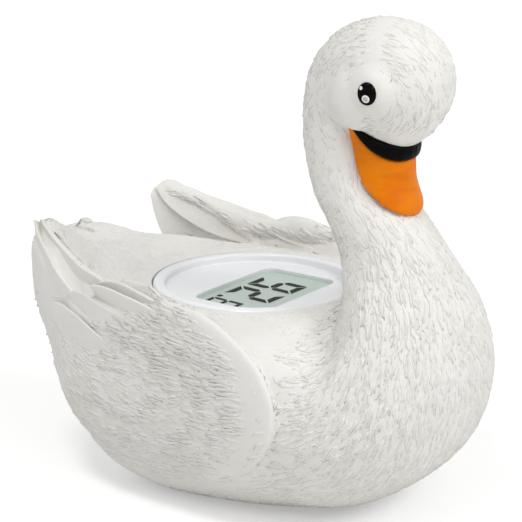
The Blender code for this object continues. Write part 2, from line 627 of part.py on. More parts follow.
# Circuit board with clearance round the bosses, and its chip
circuit_board = add_object("circuit_board", disc(MODULE_X, 0, skirt_inner - GAP, board_low, board_top), BOARD_GREEN)
for number, (x, y) in enumerate(boss_places, 1):
    cut(circuit_board, add_object("board_hole_%d" % number, disc(x, y, MODULE_BOSS_RADIUS + GAP, board_low - MM,
                                                                board_top + MM, 14)))
add_object("processor_chip", block(MODULE_X, 0, board_low - GAP - CHIP_THICKNESS, CHIP_SIZE, CHIP_SIZE, CHIP_THICKNESS), CHIP_BLACK)

# Module base: cup, shoulder, stem and floor with the battery ring
stem_inner = STEM_RADIUS - MODULE_WALL
cup_top = skirt_low - GAP
base_profile = [(MODULE_RADIUS, cup_top), (MODULE_RADIUS, SHOULDER_HEIGHT - SHOULDER_THICKNESS),
                (STEM_RADIUS, SHOULDER_HEIGHT - SHOULDER_THICKNESS), (STEM_RADIUS, STEM_FLOOR), (cell_opening, STEM_FLOOR),
                (cell_opening, floor_top), (ring_inner, floor_top), (ring_inner, cell_top), (ring_outer, cell_top),
                (ring_outer, floor_top), (stem_inner, floor_top), (stem_inner, SHOULDER_HEIGHT),
                (skirt_inner, SHOULDER_HEIGHT), (skirt_inner, cup_top)]
module_base = add_object("module_base", revolved(base_profile, MODULE_X), GREY)
for number, (x, y) in enumerate(boss_places, 1):
    cut(module_base, add_object("shoulder_hole_%d" % number, disc(x, y, SCREW_SHANK_RADIUS + GAP, SHOULDER_HEIGHT - 4 * MM,
                                                                 SHOULDER_HEIGHT + MM, SMALL_SEGMENTS)))

# Battery cover with three ears, its seal, and the screws that hold it
cover_angles = [math.radians(a) for a in (90, 210, 330)]
cover_places = [(MODULE_X + COVER_SCREW_RING * math.cos(a), COVER_SCREW_RING * math.sin(a)) for a in cover_angles]


def eared_disc(grow, low, high, steps=120):
    """A disc with a round ear at each screw, made larger all round by grow."""
    outline = []
    for i in range(steps):
        turn = 2 * math.pi * i / steps
        radius = cover_radius + grow
        for angle in cover_angles:
            ahead = COVER_SCREW_RING * math.cos(turn - angle)
            aside = COVER_SCREW_RING * math.sin(turn - angle)
            reach = COVER_EAR_RADIUS + grow
            if ahead > 0 and abs(aside) < reach:
                radius = max(radius, ahead + math.sqrt(reach**2 - aside**2))
        outline.append((MODULE_X + radius * math.cos(turn), radius * math.sin(turn)))
    return skin([[(x, y, z) for x, y in outline] for z in (low, high)])


battery_cover = add_object("battery_cover", eared_disc(0.0, STEM_FLOOR, STEM_FLOOR + COVER_THICKNESS), GREY)
for number, (x, y) in enumerate(cover_places, 1):
    join(module_base, add_object("cover_boss_%d" % number, disc(x, y, COVER_EAR_RADIUS, floor_top - 0.4 * MM,
                                                                floor_top + COVER_BOSS_HEIGHT, SMALL_SEGMENTS)))
cut(module_base, add_object("cover_recess", eared_disc(GAP, STEM_FLOOR - MM, recess_top)))
screw_seat = STEM_FLOOR + COVER_THICKNESS - 0.3 * MM
for number, (x, y) in enumerate(cover_places, 1):
    bore_profile = [(0.0, STEM_FLOOR - MM), (SCREW_HEAD_RADIUS + GAP, STEM_FLOOR - MM), (SCREW_HEAD_RADIUS + GAP, screw_seat),
                    (SCREW_SHANK_RADIUS + GAP, screw_seat), (SCREW_SHANK_RADIUS + GAP, floor_top + COVER_BOSS_HEIGHT - MM),
                    (0.0, floor_top + COVER_BOSS_HEIGHT - MM)]
    bore = add_object("cover_bore_%d" % number, revolved(bore_profile, x, y, SMALL_SEGMENTS))
    cut(module_base, bore)
    cut(battery_cover, bore)
add_object("cover_seal", revolved([(cell_opening + 0.1 * MM, recess_top - GAP), (cover_radius, recess_top - GAP),
                                   (cover_radius, recess_top - GAP - SEAL_THICKNESS),
                                   (cell_opening + 0.1 * MM, recess_top - GAP - SEAL_THICKNESS)], MODULE_X), RUBBER)
add_object("module_seal", revolved([(bore_radius + GAP, seat_height + GAP), (RIM_RADIUS - GAP, seat_height + GAP),
                                    (RIM_RADIUS - GAP, seat_height + GAP + SEAL_THICKNESS),
                                    (bore_radius + GAP, seat_height + GAP + SEAL_THICKNESS)], MODULE_X), RUBBER)


def screw(name, x, y, seat, top):
    """A pan-head screw pointing up: its head is under the seat, with a cross slot in it."""
    low = seat - GAP - SCREW_HEAD_THICKNESS
    made = add_object(name, revolved([(0.0, low), (0.7 * SCREW_HEAD_RADIUS, low), (SCREW_HEAD_RADIUS, low + 0.4 * MM),
                                      (SCREW_HEAD_RADIUS, seat - GAP), (SCREW_SHANK_RADIUS, seat - GAP),
                                      (SCREW_SHANK_RADIUS, top), (0.0, top)], x, y, SMALL_SEGMENTS), STEEL)
    for number, (length, width) in enumerate(((0.9, 0.25), (0.25, 0.9))):
        cut(made, add_object("%s_slot_%d" % (name, number), block(x, y, low - 0.5 * MM, 2 * length * SCREW_HEAD_RADIUS * 0.75,
                                                                 2 * width * SCREW_HEAD_RADIUS * 0.75, MM)))


for number, (x, y) in enumerate(boss_places, 1):
    screw("module_screw_%d" % number, x, y, SHOULDER_HEIGHT - SHOULDER_THICKNESS, shank_top)
for number, (x, y) in enumerate(cover_places, 1):
    screw("cover_screw_%d" % number, x, y, screw_seat, floor_top + COVER_BOSS_HEIGHT - MM - GAP)

# Battery and its two stamped contacts, which rise to the board
battery_profile = [(0.0, cell_low), (CELL_RADIUS - 0.4 * MM, cell_low), (CELL_RADIUS, cell_low + 0.4 * MM),
                   (CELL_RADIUS, cell_top - GAP), (0.0, cell_top - GAP)]
add_object("battery", revolved(battery_profile, MODULE_X), STEEL)
riser = stem_inner - GAP - CONTACT_THICKNESS
for side, label, foot in ((-1, "negative", 0.2 * CELL_RADIUS), (1, "positive", CELL_RADIUS + GAP)):
    low = cell_top + GAP
    run = riser + CONTACT_THICKNESS - foot
    arm = add_object("battery_contact_" + label, block(MODULE_X + side * (foot + run / 2), 0, low, run, CONTACT_WIDTH,
                                                       CONTACT_THICKNESS), BRASS)
    join(arm, add_object("riser_" + label, block(MODULE_X + side * (riser + CONTACT_THICKNESS / 2), 0, low,
                                                 CONTACT_THICKNESS, CONTACT_WIDTH, board_low - GAP - low)))
    if side > 0:
        join(arm, add_object("side_tongue", block(MODULE_X + foot + CONTACT_THICKNESS / 2, 0, cell_low + MM,
                                                  CONTACT_THICKNESS, CONTACT_WIDTH, low + CONTACT_THICKNESS - cell_low - MM)))

# Water contacts that switch it on, and the temperature sensor in its cap
sensor_places = [(MODULE_X + SENSOR_RING * math.cos(math.radians(a)), SENSOR_RING * math.sin(math.radians(a)))
                 for a in (270, 150, 30)]
for (x, y), label in zip(sensor_places[1:], ("right", "left")):
    cut(module_base, add_object("water_contact_hole_" + label, disc(x, y, WATER_CONTACT_RADIUS + GAP, STEM_FLOOR - MM,
                                                                   floor_top + MM, SMALL_SEGMENTS)))
    add_object("water_contact_" + label, disc(x, y, WATER_CONTACT_RADIUS, STEM_FLOOR - 0.5 * MM, board_low - GAP,
                                              SMALL_SEGMENTS), STEEL)
x, y = sensor_places[0]
cut(module_base, add_object("sensor_hole", disc(x, y, SENSOR_RADIUS + GAP, STEM_FLOOR - MM, floor_top + MM, SMALL_SEGMENTS)))
cap_top = floor_top + 2 * MM
bead_radius = SENSOR_RADIUS - 0.4 * MM - GAP
add_object("sensor_cap", revolved([(0.0, STEM_FLOOR - 0.5 * MM), (SENSOR_RADIUS, STEM_FLOOR - 0.5 * MM), (SENSOR_RADIUS, cap_top),
                                   (SENSOR_RADIUS - 0.4 * MM, cap_top), (SENSOR_RADIUS - 0.4 * MM, STEM_FLOOR + 0.2 * MM),
                                   (0.0, STEM_FLOOR + 0.2 * MM)], x, y, SMALL_SEGMENTS), STEEL)
add_object("thermistor", disc(x, y, bead_radius, STEM_FLOOR + 0.2 * MM + GAP, board_low - GAP, 12), CHIP_BLACK)

# Datum: the origin lies under the middle of the swan's length
for shape in bpy.data.meshes:
    shape.transform(Matrix.Translation((-0.5 * (TAIL_REAR + BREAST_FRONT), 0, 0)))
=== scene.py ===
"""Looks of the swan bath thermometer: its carved white skin, beak, eyes, display and finishes."""

import json
import math

import bmesh
import bpy
import numpy as np
from mathutils import Matrix, Vector, noise
from mathutils.bvhtree import BVHTree
from mathutils.kdtree import KDTree


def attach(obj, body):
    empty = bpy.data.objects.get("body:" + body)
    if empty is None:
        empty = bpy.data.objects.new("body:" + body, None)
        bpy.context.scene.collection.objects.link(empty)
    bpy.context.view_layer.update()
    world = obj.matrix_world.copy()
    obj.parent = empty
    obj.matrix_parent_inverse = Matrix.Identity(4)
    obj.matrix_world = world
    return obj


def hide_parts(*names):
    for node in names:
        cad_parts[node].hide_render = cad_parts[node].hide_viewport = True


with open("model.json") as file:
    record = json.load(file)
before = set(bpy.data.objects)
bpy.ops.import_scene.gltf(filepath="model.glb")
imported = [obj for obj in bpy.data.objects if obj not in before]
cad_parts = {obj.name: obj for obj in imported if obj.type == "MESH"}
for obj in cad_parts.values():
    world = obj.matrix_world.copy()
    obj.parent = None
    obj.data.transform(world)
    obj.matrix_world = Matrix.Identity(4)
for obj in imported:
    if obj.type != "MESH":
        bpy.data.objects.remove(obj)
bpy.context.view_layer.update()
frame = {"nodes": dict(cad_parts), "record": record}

MM = 0.001

# Sizes of the swan, in metres
BREAST_FRONT, TAIL_REAR, TAIL_TIP_LENGTH = 0.0610, -0.0662, 0.0051
TAIL_TIP_HEIGHT, TAIL_HALF_WIDTH = 0.0572, 0.0125
DECK_CARVED_RISE = 0.0013
HULL_HALF_WIDTH, BREAST_HEIGHT, DECK_HEIGHT, BELLY_FLAT = 0.0392, 0.0360, 0.0500, 0.0016
NECK_RADIUS, HEAD_X, HEAD_Z, HEAD_RADIUS = 0.0102, 0.0375, 0.1061, 0.0146
CHEEK_SIZE, CHEEK_HEIGHT, EYE_MOUND_SWELL = 0.0070, 0.0088, 0.0014
EYE_HALF_WIDTH, EYE_HALF_HEIGHT, EYE_HALF_DEPTH = 0.00225, 0.00265, 0.0011
EYE_FORWARD, EYE_ABOVE_CENTRE = 0.0029, -0.0003
WING_FACE_CENTRE_X, WING_FACE_CENTRE_Z, WING_FACE_LENGTH = 0.0080, 0.0320, 0.0730
WING_FACE_WIDTH, WING_FACE_RISE, WING_FACE_DROP = 0.0412, 0.2000, 0.0430
WING_THICKNESS = 0.0052
DATUM = Vector((-0.5 * (TAIL_REAR + BREAST_FRONT), 0.0, 0.0))

# Sizes of the display module
MODULE_X = -0.0012 + DATUM.x
RIM_RADIUS, RIM_HEIGHT, RIM_WIDTH, RIM_THICKNESS = 0.0262, 0.0510, 0.0031, 0.0025
PANEL_DROP, PANEL_THICKNESS, MODULE_RADIUS, MODULE_WALL = 0.0016, 0.0014, 0.0226, 0.0013
WINDOW_X, WINDOW_LENGTH, WINDOW_WIDTH, WINDOW_CORNER = 0.0015 + DATUM.x, 0.0218, 0.0326, 0.0030
STEM_RADIUS, GAP = 0.0170, 0.0003

# Sides of the paired pieces, by the sign of y
SIDES = ((1, "left"), (-1, "right"))

# Fineness of the carved skin and its strokes
HULL_RINGS, POINTS_TO_A_RING = 180, 140
VOXEL = 0.00066
SKIN_TRIANGLES = 190000
STROKES_PER_SQUARE_MM = 0.80
SEED = 7


# Small sums that several shapes share

def part_way(value, span):
    """How far a value has come through its span, from 0 to 1."""
    return min(max(value / span, 0.0), 1.0)


def quarter_round(run, radius):
    """Height of a rounded edge, as a share of its full height, at this run from the edge."""
    return math.sqrt(1 - (1 - min(run / radius, 1.0)) ** 2)


def in_metres(points):
    """A chain of points that is written in millimetres."""
    return [tuple(value * MM for value in point) for point in points]


# Modelling helpers

def deselect():
    if bpy.context.object and bpy.context.object.mode != "OBJECT":
        bpy.ops.object.mode_set(mode="OBJECT")
    bpy.ops.object.select_all(action="DESELECT")


def activate(piece):
    deselect()
    piece.select_set(True)
    bpy.context.view_layer.objects.active = piece


def mesh_piece(name, points, faces, edges=()):
    mesh = bpy.data.meshes.new(name)
    mesh.from_pydata([tuple(p) for p in points], list(edges), list(faces))
    mesh.update()
    piece = bpy.data.objects.new(name, mesh)
    bpy.context.scene.collection.objects.link(piece)
    return piece


def apply_modifier(piece, kind, **settings):
    activate(piece)
    modifier = piece.modifiers.new(kind.title(), kind)
    for key, value in settings.items():
        setattr(modifier, key, value)
    bpy.ops.object.modifier_apply(modifier=modifier.name)


def cut_away(piece, cutter, solver):
    apply_modifier(piece, "BOOLEAN", operation="DIFFERENCE", solver=solver, object=cutter)
    bpy.data.objects.remove(cutter)


def join_pieces(pieces, name):
    deselect()
    for piece in pieces:
        piece.select_set(True)
    bpy.context.view_layer.objects.active = pieces[0]
    bpy.ops.object.join()
    pieces[0].name = name
    return pieces[0]


def smooth(piece, angle=None):
    activate(piece)
    if angle is None:
        bpy.ops.object.shade_smooth()
    else:
        bpy.ops.object.shade_smooth_by_angle(angle=math.radians(angle))


def edit(piece, *steps):
    """Run edit mode's operators one by one, each on the whole piece."""
    activate(piece)
    bpy.ops.object.mode_set(mode="EDIT")
    for operator, settings in steps:
        bpy.ops.mesh.select_all(action="SELECT")
        operator(**settings)
    bpy.ops.object.mode_set(mode="OBJECT")
    return piece


MERGE = (bpy.ops.mesh.remove_doubles, {"threshold": 1e-6})
FACE_OUTWARDS = (bpy.ops.mesh.normals_make_consistent, {"inside": False})


def turned(name, profile, x, steps):
    """Turn a closed outline of (radius, height) points round an upright axis at x."""
    points = [(x + radius, 0.0, height) for radius, height in profile]
    count = len(points)
    piece = mesh_piece(name, points, [], [(i, (i + 1) % count) for i in range(count)])
    whole_turn = {"steps": steps, "angle": 2 * math.pi, "center": (x, 0, 0), "axis": (0, 0, 1)}
    return edit(piece, (bpy.ops.mesh.spin, whole_turn), MERGE, (bpy.ops.mesh.delete_loose, {}), FACE_OUTWARDS)


def skinned(name, rings):
    """A closed body through rings of points, with a fan at each end."""
    count = len(rings[0])
    points = [point for ring in rings for point in ring]
    faces = []
    for r in range(len(rings) - 1):
        for i in range(count):
            j = (i + 1) % count
            faces.append((r * count + i, r * count + j, (r + 1) * count + j, (r + 1) * count + i))
    for first, flip in ((0, False), ((len(rings) - 1) * count, True)):
        middle = len(points)
        points.append(sum((Vector(p) for p in points[first:first + count]), Vector()) / count)
        for i in range(count):
            corner = (first + i, first + (i + 1) % count)
            faces.append((middle, *(corner if flip else corner[::-1])))
    return edit(mesh_piece(name, points, faces), FACE_OUTWARDS)


def rounded_block(name, x, length, width, corner, low, high):
    """A flat block with its four upright edges rounded."""
    deselect()
    bpy.ops.mesh.primitive_cube_add(size=1.0)
    piece = bpy.context.object
    piece.name = name
    piece.data.transform(Matrix.Diagonal((length, width, high - low, 1.0)))
    piece.data.transform(Matrix.Translation((x, 0, (low + high) / 2)))
    bpy.ops.object.mode_set(mode="EDIT")
    bpy.ops.mesh.select_mode(type="EDGE")
    bpy.ops.mesh.select_all(action="DESELECT")
    edit = bmesh.from_edit_mesh(piece.data)
    for edge in edit.edges:
        upright = abs(edge.verts[0].co.z - edge.verts[1].co.z) > 0.5 * (high - low)
        edge.select_set(upright)
    bmesh.update_edit_mesh(piece.data)
    bpy.ops.mesh.bevel(offset=corner, segments=8, affect="EDGES")
    bpy.ops.object.mode_set(mode="OBJECT")
    return piece


def refined(node, name, voxel, relax):
    """A fine, rounded copy of a faceted node, which stands for it."""
    piece = frame["nodes"][node].copy()
    piece.data = piece.data.copy()
    piece.name = name
    for key in list(piece.keys()):
        del piece[key]
    piece.parent = None
    bpy.context.scene.collection.objects.link(piece)
    piece.data.materials.clear()
    edit(piece, MERGE)
    apply_modifier(piece, "REMESH", mode="VOXEL", voxel_size=voxel)
    apply_modifier(piece, "SMOOTH", factor=0.5, iterations=relax)
    smooth(piece)
    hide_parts(node)
    return piece


# Finishes

class Value:
    """A shader socket that can be used in a Python expression."""

    def __init__(self, finish, socket):
        self.finish = finish
        self.socket = socket

    def math(self, operation, first, second):
        return self.finish.node("Math", {"operation": operation}, {0: first, 1: second}).out(0)

    def __add__(self, other):
        return self.math("ADD", self, other)

    def __radd__(self, other):
        return self.math("ADD", other, self)

    def __mul__(self, other):
        return self.math("MULTIPLY", self, other)

    def __rmul__(self, other):
        return self.math("MULTIPLY", other, self)

    def between(self, low, high):
        """A blend of two colours, by this value."""
        return self.finish.node("Mix", {"data_type": "RGBA"}, {0: self, 6: low, 7: high}).out(2)


class Node:
    """A placed shader node, read by output."""

    def __init__(self, finish, node):
        self.finish = finish
        self.node = node

    def out(self, key):
        return Value(self.finish, self.node.outputs[key])


class Finish:
    """One material. Fixed values are set on the shader, varied ones are linked to it."""

    def __init__(self, name, **fixed):
        self.material = bpy.data.materials.new(name)
        self.material.use_nodes = True
        self.tree = self.material.node_tree
        self.shader = self.tree.nodes["Principled BSDF"]
        self.set(**fixed)
        self.place = self.node("TexCoord").out("Object")

    def node(self, kind, settings=None, sockets=None):
        made = self.tree.nodes.new("ShaderNode" + kind)
        for key, value in (settings or {}).items():
            setattr(made, key, value)
        for key, value in (sockets or {}).items():
            self.feed(made.inputs[key], value)
        return Node(self, made)

    def feed(self, socket, value):
        if isinstance(value, Value):
            self.tree.links.new(value.socket, socket)
        elif isinstance(value, tuple) and len(value) == 3 and socket.type == "RGBA":
            socket.default_value = (*value, 1.0)
        else:
            socket.default_value = value

    def set(self, **values):
        for key, value in values.items():
            self.feed(self.shader.inputs[key.replace("_", " ")], value)

    def noise(self, scale, detail=3.0, roughness=0.5, place=None):
        """A cloudy value from 0 to 1. The scale is in features to a metre."""
        sockets = {"Vector": place or self.place, "Scale": scale, "Detail": detail, "Roughness": roughness}
        return self.node("TexNoise", sockets=sockets).out("Fac")

    def ramp(self, value, low, high):
        """The value stretched so that low becomes 0 and high becomes 1, with soft ends."""
        settings = {"interpolation_type": "SMOOTHSTEP"}
        return self.node("MapRange", settings, {"Value": value, "From Min": low, "From Max": high}).out(0)

    def stretched(self, scale, turn=(0.0, 0.0, 0.0), place=None):
        """The place coordinates scaled and turned, for a pattern with a direction."""
        sockets = {"Vector": place or self.place, "Rotation": turn, "Scale": scale}
        return self.node("Mapping", None, sockets).out(0)

    def bump(self, height, strength, depth, under=None):
        sockets = {"Height": height, "Strength": strength, "Distance": depth}
        if under is not None:
            sockets["Normal"] = under
        return self.node("Bump", None, sockets).out("Normal")


def skin_finish(name, grained):
    """Warm white matt resin. The grain runs with the plumage where the piece carries it."""
    finish = Finish(name, IOR=1.47, Specular_IOR_Level=0.42)
    clouds = finish.noise(38.0, 4.0)
    mottle = finish.noise(260.0, 3.0)
    fresh, worn = (0.835, 0.823, 0.792), (0.798, 0.782, 0.742)
    finish.set(Base_Color=finish.ramp(clouds * 0.65 + mottle * 0.35, 0.36, 0.68).between(fresh, worn))
    finish.set(Roughness=0.46 + 0.16 * mottle)
    pores = finish.bump(finish.noise(1900.0, 2.0), 0.10, 0.00012)
    if grained:
        flow = finish.node("Attribute", {"attribute_name": "plumage"}).out("Vector")
        streaks = finish.noise(1.0, 3.0, 0.55, finish.stretched((330.0, 1500.0, 1.0), place=flow))
        pores = finish.bump(streaks, 0.42, 0.00028, pores)
    finish.set(Normal=pores)
    return finish.material


def beak_finish():
    finish = Finish("Orange satin paint", IOR=1.48, Coat_Roughness=0.22, Specular_IOR_Level=0.12)
    clouds = finish.noise(120.0, 3.0)
    brush = finish.noise(1.0, 3.0, 0.5, finish.stretched((160.0, 160.0, 900.0)))
    bright, deep = (0.830, 0.228, 0.002), (0.740, 0.160, 0.001)
    finish.set(Base_Color=finish.ramp(clouds * 0.7 + brush * 0.3, 0.35, 0.7).between(bright, deep))
    finish.set(Roughness=0.36 + 0.12 * brush, Coat_Weight=0.01 * clouds)
    finish.set(Normal=finish.bump(finish.noise(1100.0, 2.0), 0.08, 0.0001, finish.bump(brush, 0.06, 0.0001)))
    return finish.material


def black_finish(name, roughness, coat):
    finish = Finish(name, IOR=1.5, Coat_Roughness=0.08, Specular_IOR_Level=0.035)
    clouds = finish.noise(300.0, 3.0)
    finish.set(Base_Color=clouds.between((0.0012, 0.0011, 0.0012), (0.0026, 0.0024, 0.0026)))
    finish.set(Roughness=roughness + 0.06 * clouds, Coat_Weight=coat + 0.02 * clouds)
    finish.set(Normal=finish.bump(finish.noise(900.0, 2.0), 0.05, 0.00008))
    return finish.material


def module_finish(name, light, dark, roughness):
    """Smooth injection-moulded plastic with a faint orange-peel surface."""
    finish = Finish(name, IOR=1.49)
    clouds = finish.noise(90.0, 3.0)
    finish.set(Base_Color=finish.ramp(clouds, 0.35, 0.7).between(light, dark))
    finish.set(Roughness=roughness + 0.08 * finish.noise(500.0, 3.0))
    finish.set(Normal=finish.bump(finish.noise(700.0, 2.0), 0.05, 0.00008))
    return finish.material


def display_finish():
    """Pale grey-green glass, its tone varying in soft clouds and a fine speckle."""
    finish = Finish("Display glass", IOR=1.5)
    clouds = finish.noise(70.0, 2.0)
    speckle = finish.noise(2600.0, 1.0)
    pale, deep = (0.565, 0.660, 0.590), (0.520, 0.620, 0.550)
    finish.set(Base_Color=(clouds * 0.7 + speckle * 0.3).between(pale, deep))
    finish.set(Roughness=0.30 + 0.1 * clouds)
    finish.set(Normal=finish.bump(speckle, 0.04, 0.00005))
    return finish.material


def window_finish():
    """A thin clear pane: it only mirrors, so the display stays readable."""
    finish = Finish("Clear window")
    clear = finish.node("BsdfTransparent", None, {"Color": (0.985, 0.99, 0.99, 1.0)})
    haze = finish.noise(400.0, 2.0)
    mirror = finish.node("BsdfGlossy", None, {"Roughness": 0.06})
    facing = finish.node("LayerWeight", None, {"Blend": 0.5}).out("Facing")
    share = (0.012 + 0.10 * facing.math("POWER", facing, 5.0)) * (0.75 + 0.2 * haze)
    mixed = finish.node("MixShader", None, {0: share, 1: clear.out(0), 2: mirror.out(0)})
    output = finish.tree.nodes["Material Output"]
    finish.tree.links.new(mixed.out(0).socket, output.inputs["Surface"])
    finish.tree.nodes.remove(finish.shader)
    return finish.material


def ink_finish(name, dark, light, roughness, shine=0.5):
    finish = Finish(name, IOR=1.45, Specular_IOR_Level=shine)
    clouds = finish.noise(500.0, 2.0)
    finish.set(Base_Color=clouds.between(dark, light), Roughness=roughness + 0.1 * clouds)
    finish.set(Normal=finish.bump(finish.noise(2200.0, 1.0), 0.03, 0.00005))
    return finish.material


def metal_finish(name, light, dark, roughness):
    """Drawn and lightly brushed metal."""
    finish = Finish(name)
    brush = finish.noise(1.0, 3.0, 0.6, finish.stretched((2600.0, 240.0, 240.0)))
    finish.set(Base_Color=brush.between(light, dark), Metallic=0.94 + 0.06 * finish.noise(150.0))
    finish.set(Roughness=roughness + 0.14 * brush, Normal=finish.bump(brush, 0.10, 0.00006))
    return finish.material


def board_finish():
    """Lacquered circuit board with a faint weave and copper under the green."""
    finish = Finish("Lacquered board", IOR=1.5)
    threads = {"Vector": finish.place, "Scale": 260.0}
    weave = finish.node("TexWave", {"wave_type": "BANDS"}, threads).out("Fac")
    copper = finish.ramp(finish.noise(180.0, 1.0), 0.52, 0.56)
    finish.set(Base_Color=copper.between((0.020, 0.150, 0.065), (0.050, 0.260, 0.110)))
    finish.set(Roughness=0.32 + 0.1 * weave, Normal=finish.bump(weave * 0.3 + copper * 0.7, 0.15, 0.00006))
    return finish.material


SKIN = skin_finish("Carved white skin", True)
STROKE_SKIN = skin_finish("Carved white strokes", False)
BEAK = beak_finish()
BAND = black_finish("Black band paint", 0.34, 0.02)
EYE = black_finish("Black eye gloss", 0.12, 0.03)
MODULE_WHITE = module_finish("Cool white moulding", (0.880, 0.888, 0.905), (0.850, 0.860, 0.880), 0.20)
MODULE_GREY = module_finish("Grey moulding", (0.520, 0.530, 0.540), (0.470, 0.480, 0.490), 0.42)
DISPLAY = display_finish()
WINDOW = window_finish()
DIGIT = ink_finish("Display digits", (0.002, 0.003, 0.002), (0.005, 0.006, 0.005), 0.5, 0.02)
GLINT = ink_finish("White eye paint", (0.900, 0.900, 0.890), (0.840, 0.840, 0.830), 0.30)
GLINT_GREY = ink_finish("Grey eye paint", (0.560, 0.560, 0.555), (0.500, 0.500, 0.495), 0.30)
STEEL = metal_finish("Drawn steel", (0.640, 0.640, 0.620), (0.500, 0.500, 0.490), 0.24)
BRASS = metal_finish("Stamped brass", (0.730, 0.560, 0.260), (0.620, 0.450, 0.190), 0.28)
FOIL = metal_finish("Reflector foil", (0.740, 0.750, 0.740), (0.640, 0.650, 0.640), 0.22)
SEAL = ink_finish("Seal rubber", (0.030, 0.030, 0.030), (0.055, 0.055, 0.055), 0.62)
CHIP = ink_finish("Black resin", (0.014, 0.014, 0.015), (0.030, 0.030, 0.030), 0.42)
BOARD = board_finish()

FINISH_OF_SLOT = {"skin": SKIN, "beak_orange": BEAK, "gloss_black": BAND, "module_white": MODULE_WHITE,
                  "window": WINDOW, "display": DISPLAY, "foil": FOIL, "seal": SEAL, "board": BOARD,
                  "chip": CHIP, "steel": STEEL, "brass": BRASS, "module_grey": MODULE_GREY}


def dress(piece, slot, finish=None):
    """Give a new piece its finish and its place on the one body."""
    piece.data.materials.clear()
    piece.data.materials.append(finish or FINISH_OF_SLOT[slot])
    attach(piece, "root")
    return piece


# Swan's surfaces: design sections like the solids' own, with the deck raised and the neck's foot reshaped

def smooth_rows(rows, count, spacing_columns=(0, 1, 2, 3)):
    """Run a smooth curve through the rows of design values and read it at even steps."""
    rows = np.array(rows, float)
    gaps = np.linalg.norm(np.diff(rows[:, list(spacing_columns)], axis=0), axis=1)
    along = np.concatenate(([0.0], np.cumsum(gaps)))
    slopes = np.gradient(rows, along, axis=0)
    result = []
    for place in np.linspace(0.0, along[-1], count):
        i = min(int(np.searchsorted(along, place, side="right")) - 1, len(rows) - 2)
        span = along[i + 1] - along[i]
        t = (place - along[i]) / span
        result.append((2 * t**3 - 3 * t**2 + 1) * rows[i] + (t**3 - 2 * t**2 + t) * span * slopes[i]
                      + (3 * t**2 - 2 * t**3) * rows[i + 1] + (t**3 - t**2) * span * slopes[i + 1])
    return result


def swan_stations():
    """Design sections from the tail to the forehead.

    Each holds the back point (x, z), the belly point (x, z), the half width, how far up the widest
    level lies, and how square the upper and the lower half are.
    """
    wide, deck, front = HULL_HALF_WIDTH, DECK_HEIGHT + DECK_CARVED_RISE, BREAST_FRONT
    tail, tip, flat = TAIL_REAR + TAIL_TIP_LENGTH, TAIL_TIP_HEIGHT, BELLY_FLAT
    rear, tail_wide, neck, head, breast = TAIL_REAR, TAIL_HALF_WIDTH, NECK_RADIUS, HEAD_RADIUS, BREAST_HEIGHT
    hull = [
        (rear, tip - 1.9 * MM, rear + 0.6 * MM, tip - 3.4 * MM, 0.55 * tail_wide, 0.5, 2.2, 2.2),
        (tail, tip - 1.6 * MM, tail + 1.0 * MM, tip - 5.4 * MM, 0.95 * tail_wide, 0.5, 2.3, 2.2),
        (tail + 8 * MM, tip - 3.8 * MM, tail + 9 * MM, tip - 10.6 * MM, tail_wide + 5 * MM, 0.6, 2.5, 2.2),
        (tail + 18 * MM, deck + 1.8 * MM, tail + 16.5 * MM, 0.60 * deck, 0.70 * wide, 0.66, 2.9, 2.3),
        (tail + 28 * MM, deck, tail + 23 * MM, 0.27 * deck, 0.88 * wide, 0.66, 4.2, 2.6),
        (tail + 40 * MM, deck, tail + 33 * MM, 0.06 * deck, 0.98 * wide, 0.66, 5.0, 3.0),
        (tail + 54 * MM, deck, tail + 47 * MM, 0.2 * MM - flat, wide, 0.66, 5.4, 3.0),
        (tail + 68 * MM, deck, tail + 66 * MM, -flat, wide, 0.66, 5.4, 2.7),
        (tail + 79 * MM, deck, tail + 85 * MM, 0.8 * MM - 0.6 * flat, 0.99 * wide, 0.66, 4.8, 2.25),
        (front - 36 * MM, deck + 0.6 * MM, front - 20 * MM, 5.0 * MM, 0.93 * wide, 0.64, 3.2, 2.3),
        (front - 33.0 * MM, deck + 2.6 * MM, front - 5.4 * MM, 0.5 * breast, 0.80 * wide, 0.60, 1.45, 2.3),
        (front - 32.4 * MM, deck + 5.6 * MM, front, breast, 0.66 * wide, 0.55, 1.35, 2.2),
        (front - 33 * MM, deck + 9.5 * MM, front - 2.2 * MM, breast + 15.5 * MM, 0.505 * wide, 0.5, 1.6, 2.1),
        (front - 34.8 * MM, deck + 14.5 * MM, front - 8.8 * MM, breast + 29 * MM, 1.33 * neck, 0.5, 1.9, 2.0),
        (front - 38.2 * MM, deck + 20.5 * MM, front - 16.4 * MM, breast + 39 * MM, 1.16 * neck, 0.5, 2.0, 2.0)
    ]
    # Back and front points of the neck's top and the head, in mm from the head's centre, and half widths
    upper = ((-19.0, -27.5, -0.8, -22.6, 1.07 * neck), (-22.2, -17.0, -2.4, -16.2, 1.0 * neck),
             (-22.4, -6.5, -3.2, -14.0, 1.02 * neck), (-19.6, 4.2, -2.4, -13.8, 0.80 * head),
             (-12.4, 11.6, -0.6, -14.2, 0.93 * head), (-2.4, 14.7, 2.0, -14.4, head),
             (6.0, 13.4, 6.4, -13.1, 0.91 * head), (11.2, 9.4, 11.2, -9.3, 0.65 * head),
             (13.8, 5.0, 13.8, -5.1, 0.34 * head), (14.5, 1.6, 14.5, -1.6, 0.11 * head))
    return hull + [(HEAD_X + back_x * MM, HEAD_Z + back_z * MM, HEAD_X + front_x * MM, HEAD_Z + front_z * MM,
                    half_width, 0.5, 2.0, 2.0) for back_x, back_z, front_x, front_z, half_width in upper]


